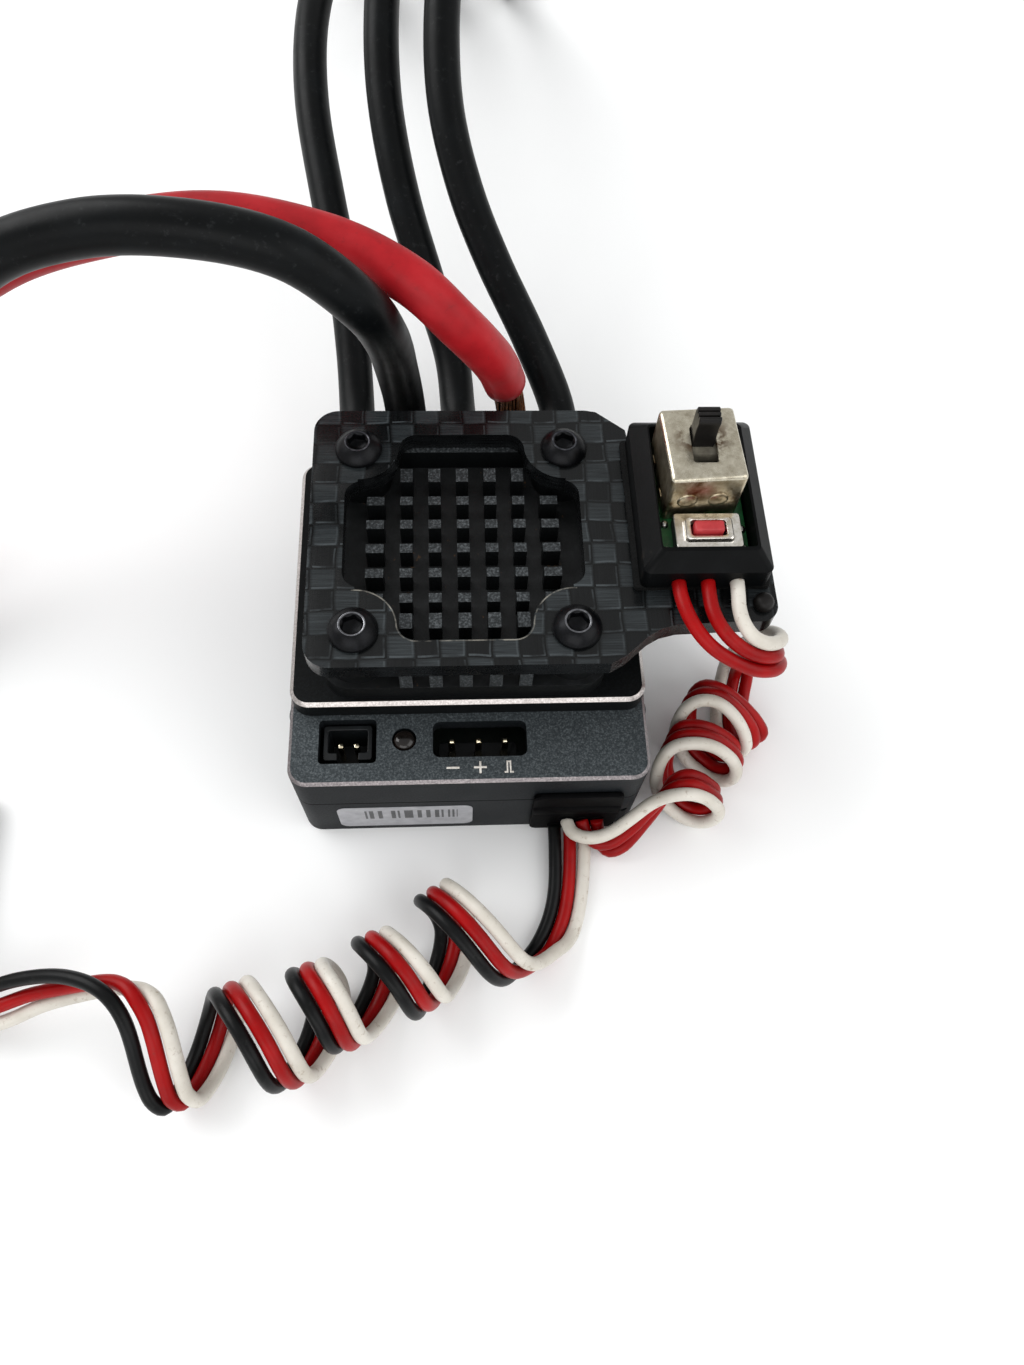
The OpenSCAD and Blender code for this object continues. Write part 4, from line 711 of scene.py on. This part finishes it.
dress("heat_sink", [M["sink"], M["tips"], M["floor_sink"], M["edge"]], 0.09, 2, pick=sink_pick)
dress("carbon_plate", [M["carbon"]], 0.14, 3)
dress("case_screws", [M["steel"]], 0.05, 2)
for n, m in (("control_board", "pcb_dark"), ("power_board", "pcb_dark"), ("switch_board", "pcb")):
    dress(n, [M[m]], 0.05, 2)
for n in ("board_link", "mosfets", "microcontroller", "bec_inductor"):
    dress(n, [M["chip"]], 0.08, 2)
dress("thermal_pad", [M["pad"]], 0.15, 2)
dress("ceramic_caps", [M["ceramic"]], 0.08, 2)
dress("fan_socket_shell", [M["plastic"]], 0.08, 2)
dress("header_base", [M["plastic"]], 0.06, 2)
dress("fan_socket_pins", [M["gold"]], 0.1, 2)
dress("port_marks", [M["paint"]], 0.01, 1)
dress("solder_posts", [M["tin"]], 0.12, 2)
dress("slide_switch_base", [M["ceramic"]], 0.08, 2)
dress("slide_switch_contacts", [M["gold"]], 0.06, 2)
dress("tact_base", [M["plastic"]], 0.08, 2)
dress("tact_dome", [M["cover"]], 0.03, 2)
dress("switch_housing", [M["housing"]], 0.16, 3)

# ------------------------------------------------------------------ screws
SX, SY, TOP = -0.3, 3.7, 22.4

def plate_screw(i, cx, cy, turn, painted_rim_highlight):
    """Button-head screw: rolled crown, hex socket with a worn rim that is painted brighter on the front screws as a
    highlight, shank below.
    """
    n = 48
    verts, faces, ids = [], [], []
    c = Vector((cx, cy, 0))
    def hexr(a, flat):
        k = (a - turn) % (math.pi / 3) - math.pi / 6
        return flat / math.cos(k)
    prof = [(1.45, 16.2, 0), (1.5, 16.5, 0), (1.5, TOP - 0.02, 0), (2.18, TOP, 0), (2.27, TOP + 0.1, 0), (2.28, TOP + 0.28, 0), (2.22, TOP + 0.42, 0), (2.05, TOP + 0.68, 0), (1.8, TOP + 0.95, 0), (1.5, TOP + 1.2, 0), (1.3, TOP + 1.31, 0), (1.22, TOP + 1.35, 1), (1.06, TOP + 1.34, 0), (0.99, TOP + 1.28, 0)]
    rings = []
    for r, z, m in prof:
        rings.append(([r] * n, z, m))
    rings.append(([hexr(2 * math.pi * k / n, 0.875) if False else min(0.99, hexr(2 * math.pi * k / n, 0.86)) for k in range(n)], TOP + 1.18, 0))
    rings.append(([min(0.98, hexr(2 * math.pi * k / n, 0.85)) for k in range(n)], TOP + 0.5, 0))
    rings.append(([0.4] * n, TOP + 0.36, 0))
    rings.append(([0.02] * n, TOP + 0.34, 0))
    for rr, z, m in rings:
        for k in range(n):
            a = 2 * math.pi * k / n
            verts.append(c + Vector((math.cos(a) * rr[k], math.sin(a) * rr[k], z)))
    for j in range(len(rings) - 1):
        for k in range(n):
            a, b = j * n + k, j * n + (k + 1) % n
            faces.append((a, b, b + n, a + n))
            ids.append(rings[j][2])
    faces.append(tuple(range(n)))
    ids.append(0)
    m = (len(rings) - 1) * n
    faces.append(tuple(m + k for k in range(n)))
    ids.append(0)
    ob = mesh_obj("plate_screw_%d" % i, verts, faces, [M["screw"], M["rim"] if painted_rim_highlight else M["rim_dull"]], True, ids)
    smooth_by_angle(ob, 38)
    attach(ob, "controller")
    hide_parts("plate_screws")

M["rim_dull"] = plain("screw_rim_dull", "#4A4B50", "#24252A", "#7E7F84", (0.24, 0.36), 2200, 0.9, 0.5, 0.2, 0.00003)
# the front two screws take the brighter rim: worn metal with a painted highlight; the back two take the dull rim
for i, (sx, sy, t, br) in enumerate(((-1, -1, 0.35, True), (1, -1, 0.1, True), (1, 1, 0.6, False), (-1, 1, 0.9, False))):
    plate_screw(i, SX + sx * 10, SY + sy * 10, t, br)

# ------------------------------------------------------------------ arm peg
peg = lathe("arm_peg_dome", [(0.58, 20.1), (0.6, 20.3), (0.9, 19.6), (0.9, 20.3), (0.6, 20.32), (0.6, 22.3), (0.93, 22.4), (0.96, 22.6), (0.9, 23.0), (0.74, 23.3), (0.5, 23.45), (0.2, 23.5)], (27, -4.1, 0), (0, 0, 1), M["lever"], 32)
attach(peg, "controller")
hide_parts("arm_peg")

# ------------------------------------------------------------------ signal pins: square wire with cut, rounded tips
HX, HY = 0.8, -13.1
for i in (-1, 0, 1):
    rings = []
    for z, h in ((5.2, 0.20), (5.4, 0.3), (5.6, 0.32), (12.3, 0.32), (12.55, 0.28), (12.72, 0.2), (12.8, 0.1)):
        rings.append([Vector((HX + 2.54 * i + x, HY + y, z)) for x, y in rbox_pts(2 * h, 2 * h, min(0.07, h * 0.4), 2)])
    p = smooth_by_angle(stack("header_pin_%s" % "abc"[i + 1], rings, M["gold"]), 40)
    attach(p, "controller")
    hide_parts("header_pins")

# ------------------------------------------------------------------ status light
led = lathe("status_led_dome", [(0.9, 7.4), (1.05, 7.5), (1.05, 12.9), (1.04, 13.1), (0.98, 13.3), (0.86, 13.48), (0.66, 13.6), (0.4, 13.68), (0.12, 13.7)], (-6.2, -13.1, 0), (0, 0, 1), M["led"], 40)
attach(led, "controller")
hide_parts("status_led")

# ------------------------------------------------------------------ label: thin film, edges slightly lifted
def label():
    w, h, r = 13.4, 5.6, 0.9
    rings = []
    for k, d in ((1.0, 0.005), (1.0, 0.05), (0.992, 0.075), (0.98, 0.085), (0.9, 0.08)):
        rings.append([Vector((-6.5 + x, -17.5 - d - 0.012 * math.sin(x * 1.7) * abs(z) / 2.8 * (k > 0.97), 3.9 + z)) for x, z in rbox_pts(w * k, h * k if k > 0.95 else h * k, r * k, 8)])
    ob = stack("spec_label", rings, M["label"], smooth=True)
    smooth_by_angle(ob, 40)
    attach(ob, "controller")
    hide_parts("label")

label()

# ------------------------------------------------------------------ cable grommet: moulded collar with a ridge
def grommet():
    cx = 10.5
    rings = []
    prof = [(-16.0, 7.4, 4.4, 4.0), (-16.6, 7.4, 7.0, 5.35), (-17.5, 7.4, 7.5, 5.55), (-17.52, 8.6, 9.3, 5.15), (-17.62, 8.76, 9.48, 5.15), (-17.95, 8.8, 9.5, 5.15), (-18.08, 8.62, 9.3, 5.15), (-18.1, 8.3, 9.0, 5.15)]
    for y, w, h, zc in prof:
        rings.append([Vector((cx + x, y, zc + z)) for x, z in rbox_pts(w, h, 0.7, 6)])
    body = smooth_by_angle(stack("grommet_collar", rings, M["rubber"]), 40)
    rings = []
    for y, w, h in ((-17.6, 8.8, 2.0), (-18.05, 8.78, 1.95), (-18.22, 8.66, 1.7), (-18.3, 8.4, 1.2)):
        rings.append([Vector((cx + x, y, 6.2 + z)) for x, z in rbox_pts(w, h, 0.42, 5)])
    ridge = smooth_by_angle(stack("grommet_ridge", rings, M["rubber"]), 40)
    # a soft lip round each lead
    for i, (x, z) in enumerate([(10.2 + k * 1.55, 1.5) for k in (-1, 0, 1)] + [(11.3 + k * 1.55, 3.2) for k in (-1, 0, 1)]):
        lip = lathe("grommet_lip_%d" % i, [(0.70, 0.0), (0.76, -0.02), (0.80, 0.06), (0.76, 0.13), (0.69, 0.14)], (x, -18.08, z), (0, -1, 0), M["rubber"], 28)
        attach(lip, "controller")
        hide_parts("cable_grommet")
    for o in (body, ridge):
        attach(o, "controller")
        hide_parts("cable_grommet")

grommet()

# ------------------------------------------------------------------ copper strands and solder at the terminals
TERM_X = (-11.7, -6, -0.3, 5.4, 11.1)
rnd = random.Random(7)

def strand_bundle():
    route = even(catmull(STRANDS, 10), 0.35)
    fr = frames_of(route)
    verts, faces = [], []
    sides = 6
    def wire(pts, r):
        f = frames_of(pts)
        b = len(verts)
        for p, (u, v, d) in zip(pts, f):
            for k in range(sides):
                a = 2 * math.pi * k / sides
                verts.append(p + (u * math.cos(a) + v * math.sin(a)) * r)
        for i in range(len(pts) - 1):
            for k in range(sides):
                a, c = b + i * sides + k, b + i * sides + (k + 1) % sides
                faces.append((a, c, c + sides, a + sides))
        faces.append(tuple(b + k for k in range(sides)))
        m = b + (len(pts) - 1) * sides
        faces.append(tuple(m + k for k in range(sides)))
    r0 = 0.17
    spots = [(0.0, 0.0)]
    for ring, cnt in ((0.36, 6), (0.72, 12), (1.08, 19), (1.38, 25)):
        for k in range(cnt):
            spots.append((ring, 2 * math.pi * k / cnt + ring * 3))
    n = len(route)
    for rr, a0 in spots:
        jit, jb = rnd.uniform(0, 6.28), rnd.uniform(0.0, 1.0)
        stray = 0.22 if (rr > 1.3 and rnd.random() < 0.25) else 0.0
        pts = []
        for i, p in enumerate(route):
            t = i / (n - 1)
            u, v, d = fr[i]
            a = a0 + 1.6 * t + 0.05 * math.sin(t * 9 + jit)
            q = rr * (1 + 0.05 * math.sin(t * 7 + jit)) + stray * math.sin(math.pi * t) ** 2
            pts.append(p + (u * math.cos(a) + v * math.sin(a)) * q)
        wire(pts, r0 * (0.92 + 0.16 * jb))
    ob = mesh_obj("bare_strands", verts, faces, M["copper"])
    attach(ob, "controller")
    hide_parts("wire_strands")

strand_bundle()

for i, x in enumerate(TERM_X):
    if i != 3:
        pr = [(1.35, 18.6), (1.45, 18.8), (1.5, 20), (1.48, 21.6), (1.45, 22.2), (1.3, 22.3)]
        b = lathe("wire_core_%d" % i, pr, (x, 0, 10.6), (0, 1, 0), M["copper"], 24)
        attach(b, "controller")
        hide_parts("wire_strands")
    # solder fillet, heaped and uneven, from the mouth of the cup on to the wire
    n = 36
    verts, faces = [], []
    prof = [(1.62, 20.9), (1.72, 21.5), (1.74, 21.85), (1.95, 22.02), (2.08, 22.14), (1.98, 22.34), (1.82, 22.62), (1.62, 22.8), (1.5, 22.85)]
    for r, h in prof:
        for k in range(n):
            a = 2 * math.pi * k / n
            w = 1 + 0.03 * noise.noise(Vector((math.cos(a) * 1.6 + i * 5, math.sin(a) * 1.6, h * 1.1)))
            verts.append(Vector((x + math.cos(a) * r * w, h, 10.6 + math.sin(a) * r * w)))
    for j in range(len(prof) - 1):
        for k in range(n):
            a, b2 = j * n + k, j * n + (k + 1) % n
            faces.append((a, b2, b2 + n, a + n))
    faces.append(tuple(range(n)))
    m = (len(prof) - 1) * n
    faces.append(tuple(m + k for k in range(n)))
    f = mesh_obj("solder_fillet_%d" % i, verts, faces, M["tin"])
    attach(f, "controller")
    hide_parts("solder_joints")
joints_n = 0
for x in TERM_X:
    for a in (-1, 1):
        if abs(x + a * 2.35) < 13:
            px = x + a * 2.35
            rings = []
            for z, k in ((10.4, 1.0), (10.55, 1.02), (10.8, 0.92), (11.0, 0.7), (11.1, 0.35)):
                rings.append([Vector((px + u, 13.7 + v, z)) for u, v in rbox_pts(0.9 * k, 2.2 * k, 0.4 * k, 4)])
            o = stack("board_solder_%d" % joints_n, rings, M["tin"])
            joints_n += 1
            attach(o, "controller")
            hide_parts("solder_joints")

# ------------------------------------------------------------------ foam tape under the switch: cut edges, slightly ragged
def foam():
    cx, cy, w, d = 21.5, 5.85, 12.6, 16.8
    base = []
    for x, y in rbox_pts(w, d, 0.3, 2):
        base.append((x, y))
    dense = []
    for i in range(len(base)):
        a, b = Vector(base[i] + (0,)), Vector(base[(i + 1) % len(base)] + (0,))
        k = max(1, int((b - a).length / 0.35))
        for j in range(k):
            dense.append(a.lerp(b, j / k))
    rings = []
    for z, ins in ((22.4, 0.05), (22.5, -0.02), (22.7, 0.06), (22.9, -0.02), (23.0, 0.04)):
        ring = []
        for p in dense:
            q = 0.14 * noise.noise(Vector((p.x * 1.3, p.y * 1.3, z * 2))) + 0.07 * noise.noise(Vector((p.x * 4.1, p.y * 4.1, z * 5)))
            s = 1 - (ins + abs(q)) / 6.0
            ring.append(Vector((cx + p.x * s, cy + p.y * (1 - (ins + abs(q)) / 8.0), z)))
        rings.append(ring)
    ob = stack("switch_foam", rings, M["foam"])
    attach(ob, "controller")
    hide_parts("foam_tape")

foam()

# ------------------------------------------------------------------ slide switch: folded tin can with a round-ended slot
CX, CY, CT = 21.25, 8.0, math.radians(3)

def can_xy(x, y):
    """From the can's own square, turned a little on the board as fitted, to the frame."""
    return CX + x * math.cos(CT) - y * math.sin(CT), CY + x * math.sin(CT) + y * math.cos(CT)

def slot_outline(x0=20.1, x1=22.45, y0=5.8, y1=10.0, r=0.32):
    xc, yc = (x0 + x1) / 2, (y0 + y1) / 2
    return [(xc + x, yc + y) for x, y in rbox_pts(x1 - x0, y1 - y0, r, 5)]

def switch_can():
    bm = bmesh.new()
    zt, zb, t = 30.4, 24.6, 0.3
    w, d, r = 6.95, 8.0, 0.42
    def loop(pts, z, bow=0.0):
        return [bm.verts.new((x * MM, y * MM, z * MM)) for x, y in pts]
    def outline(e, rr):
        return [can_xy(x, y) for x, y in rbox_pts(w - 2 * e, d - 2 * e, rr, 6)]
    def skin_loops(a, b):
        n = len(a)
        for k in range(n):
            bm.faces.new((a[k], a[(k + 1) % n], b[(k + 1) % n], b[k]))
    o_bot = loop(outline(0, r), zb)
    o_mid = loop(outline(0, r), zt - 0.36)
    o_a = loop(outline(0.05, r), zt - 0.18)
    o_b = loop(outline(0.18, r), zt - 0.05)
    o_c = loop(outline(0.36, r), zt)
    for a, b in ((o_bot, o_mid), (o_mid, o_a), (o_a, o_b), (o_b, o_c)):
        skin_loops(a, b)
    xm, ym = 21.275, 7.9
    sl = loop(slot_outline(), zt)
    inn = [((x - xm) * 0.95 + xm, (y - ym) * 0.97 + ym) for x, y in slot_outline()]
    sl_in = loop(inn, zt - 0.06)
    sl_bot = loop(inn, zt - t)
    def edges(l):
        return [bm.edges.get((l[k], l[(k + 1) % len(l)])) or bm.edges.new((l[k], l[(k + 1) % len(l)])) for k in range(len(l))]
    bmesh.ops.triangle_fill(bm, use_beauty=True, use_dissolve=False, edges=edges(o_c) + edges(sl), normal=(0, 0, 1))
    skin_loops(sl, sl_in)
    skin_loops(sl_in, sl_bot)
    i_top = loop(outline(t, 0.2), zt - t)
    i_bot = loop(outline(t, 0.2), zb)
    bmesh.ops.triangle_fill(bm, use_beauty=True, use_dissolve=False, edges=edges(i_top) + edges(sl_bot), normal=(0, 0, -1))
    skin_loops(i_top, i_bot)
    skin_loops(i_bot, o_bot)
    bmesh.ops.recalc_face_normals(bm, faces=bm.faces)
    me = bpy.data.meshes.new("slide_can")
    bm.to_mesh(me)
    bm.free()
    ob = bpy.data.objects.new("slide_can", me)
    SC.collection.objects.link(ob)
    me.materials.append(M["can"])
    me.materials.append(M["can_side"])
    for p in me.polygons:
        p.material_index = 1 if abs(p.normal.z) < 0.3 and p.center.z < (zt - 0.36) * MM else 0
    smooth_by_angle(ob, 34)
    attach(ob, "controller")
    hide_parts("slide_switch_can")
    k = 0
    front = Vector((math.sin(CT), -math.cos(CT), 0))
    for x, z in ((-1.55, 27.3), (1.3, 27.3)):
        px, py = can_xy(x, -d / 2)
        o = lathe("can_dimple_%d" % k, [(0.95, -0.02), (0.92, 0.05), (0.75, 0.12), (0.45, 0.17), (0.05, 0.19)], (px, py, z), front, M["can_side"], 28)
        k += 1
        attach(o, "controller")
        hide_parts("slide_switch_can")
    for sgn in (-1, 1):
        for y in (-1.9, 1.9):
            rings = []
            for dx, hw, hz in ((-0.02, 0.5, 0.6), (0.05, 0.5, 0.6), (0.1, 0.42, 0.5)):
                ring = []
                for a, b in rbox_pts(2 * hw, 2 * hz, 0.15, 3):
                    px, py = can_xy(sgn * (w / 2 + dx), y + a)
                    ring.append(Vector((px, py, 25.4 + b)))
                rings.append(ring)
            o = smooth_by_angle(stack("can_tab_%d" % k, rings, M["can_side"]), 40)
            k += 1
            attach(o, "controller")
            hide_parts("slide_switch_can")

switch_can()

# ------------------------------------------------------------------ lever: block in the can, stem with three ridges
def lever():
    rings = []
    for z, k in ((26.8, 0.95), (26.95, 1.0), (29.65, 1.0), (29.8, 0.96)):
        rings.append([Vector((21.28 + x, 9.2 + y, z)) for x, y in rbox_pts(4.6 * k, 4.2 * k, 0.35, 4)])
    block = smooth_by_angle(stack("lever_block", rings, M["lever_grey"]), 40)
    # side profile of the stem: three rounded ridges on top, the front face hollowed a little
    prof = [(8.0, 29.6), (8.0, 30.6), (8.12, 31.3), (8.12, 32.2), (8.02, 32.7), (8.0, 33.0), (8.05, 33.12)]
    for j in range(3):
        y = 8.08 + j * 0.57
        prof += [(y + 0.02, 33.3), (y + 0.1, 33.39), (y + 0.2, 33.4), (y + 0.3, 33.37), (y + 0.38, 33.28), (y + 0.42, 33.05), (y + 0.5, 33.0)]
    prof = prof[:-1] + [(9.7, 33.0), (9.75, 32.85), (9.75, 29.6)]
    cx, cy, cz = 0, 8.9, 31.8
    rings = []
    for x, k in ((20.28, 0.06), (20.34, 0.0), (22.22, 0.0), (22.28, 0.06)):
        rings.append([Vector((x, y + k * (1 if y < cy else -1), z - k * (1 if z > cz else 0))) for y, z in prof])
    stem = smooth_by_angle(stack("lever_stem", rings, M["lever"]), 32)
    for o in (block, stem):
        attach(o, "lever")
        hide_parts("switch_lever")

M["lever_grey"] = plain("slider_grey", "#6E6A5E", "#4A463D", "#8C8878", (0.35, 0.5), 900, 0, 0.5, 0.25, dirt="#3A3226", dirt_scale=700, dirt_cut=(0.55, 0.68))
lever()

# ------------------------------------------------------------------ push button: drawn cover, raised collar, red key
def tact():
    rings = []
    for w, d, z, x0, y0 in ((6.0, 3.55, 25.75, 21.87, 1.65), (6.1, 3.65, 25.8, 21.87, 1.65), (6.1, 3.65, 25.94, 21.87, 1.65), (6.0, 3.55, 26.0, 21.87, 1.65), (4.75, 2.8, 26.0, 21.85, 1.55), (4.5, 2.55, 26.07, 21.85, 1.55), (4.4, 2.45, 26.25, 21.85, 1.55), (4.33, 2.38, 26.42, 21.85, 1.55), (4.16, 2.26, 26.5, 21.84, 1.56), (3.46, 1.82, 26.5, 21.81, 1.59), (3.28, 1.66, 26.44, 21.8, 1.6), (3.2, 1.6, 26.3, 21.8, 1.6), (3.2, 1.6, 25.75, 21.8, 1.6)):
        rings.append([Vector((x0 + x, y0 + y, z)) for x, y in rbox_pts(w, d, 0.25 if w > 5 else 0.42 if w > 3.9 else 0.28, 5)])
    ob = stack("button_cover", rings, M["cover"], cap=(False, False))
    me = ob.data
    bm = bmesh.new()
    bm.from_mesh(me)
    bm.verts.ensure_lookup_table()
    n = len(rings[0])
    a, b = 0, (len(rings) - 1) * n
    for k in range(n):
        bm.faces.new((bm.verts[a + k], bm.verts[a + (k + 1) % n], bm.verts[b + (k + 1) % n], bm.verts[b + k]))
    bmesh.ops.recalc_face_normals(bm, faces=bm.faces)
    bm.to_mesh(me)
    bm.free()
    smooth_by_angle(ob, 34)
    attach(ob, "controller")
    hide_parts("tact_cover")
    rings = []
    for z, e in ((25.75, 0.0), (26.66, 0.0), (26.8, 0.03), (26.87, 0.1), (26.9, 0.2), (26.885, 0.4)):
        w, d = 2.75 - 2 * e, 1.15 - 2 * e
        rings.append([Vector((21.8 + x, 1.6 + y, z)) for x, y in rbox_pts(w, d, 0.25 * d / 1.15, 5)])
    key = smooth_by_angle(stack("button_key", rings, M["red_button"]), 50)
    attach(key, "button")
    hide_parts("tact_button")

tact()

# solder pads and leads of the switch on its green board
pads = 0
for x, y in ((25.35, 2.6), (25.4, 0.4), (18.2, 3.2), (18.15, 0.35)):
    o = lathe("switch_pad_%d" % pads, [(0.42, 24.55), (0.42, 24.6), (0.34, 24.78), (0.2, 24.92), (0.05, 24.95)], (x, y, 0), (0, 0, 1), M["tin"], 20)
    pads += 1
    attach(o, "controller")

# ------------------------------------------------------------------ floor and light
def stage():
    m = Mat("studio_floor")
    f = m.noise(14, 3, 0.5)
    m.color(m.ramp(f, [(0.3, "#F2F3F3"), (0.7, "#F7F8F8")]))
    m.set(Roughness=0.75, Specular_IOR_Level=0.2)
    bpy.ops.mesh.primitive_plane_add(size=6, location=(0, 0, 0))
    fl = bpy.context.object
    fl.name = "studio_floor"
    fl.data.materials.append(m.m)
    def area(name, loc, target, size, power, col=(1, 1, 1)):
        d = bpy.data.lights.new(name, "AREA")
        d.shape = "RECTANGLE"
        d.size, d.size_y = size
        d.energy = power
        d.color = col
        o = bpy.data.objects.new(name, d)
        o.location = loc
        v = Vector(target) - Vector(loc)
        o.rotation_euler = v.to_track_quat("-Z", "Y").to_euler()
        SC.collection.objects.link(o)
        return o
    area("key", (-0.62, 0.42, 0.6), (0, 0.03, 0.0), (0.8, 0.6), 6.0)
    area("fill", (0.6, -0.25, 0.5), (0, 0.02, 0.0), (0.7, 0.7), 2.4)
    area("front", (-0.15, -0.65, 0.42), (0, 0.0, 0.0), (0.8, 0.5), 2.4)
    w = bpy.data.worlds.new("studio")
    w.use_nodes = True
    bg = w.node_tree.nodes["Background"]
    bg.inputs[0].default_value = (1, 1, 1, 1)
    bg.inputs[1].default_value = 0.66
    SC.world = w
    SC.view_settings.view_transform = "Standard"

stage()
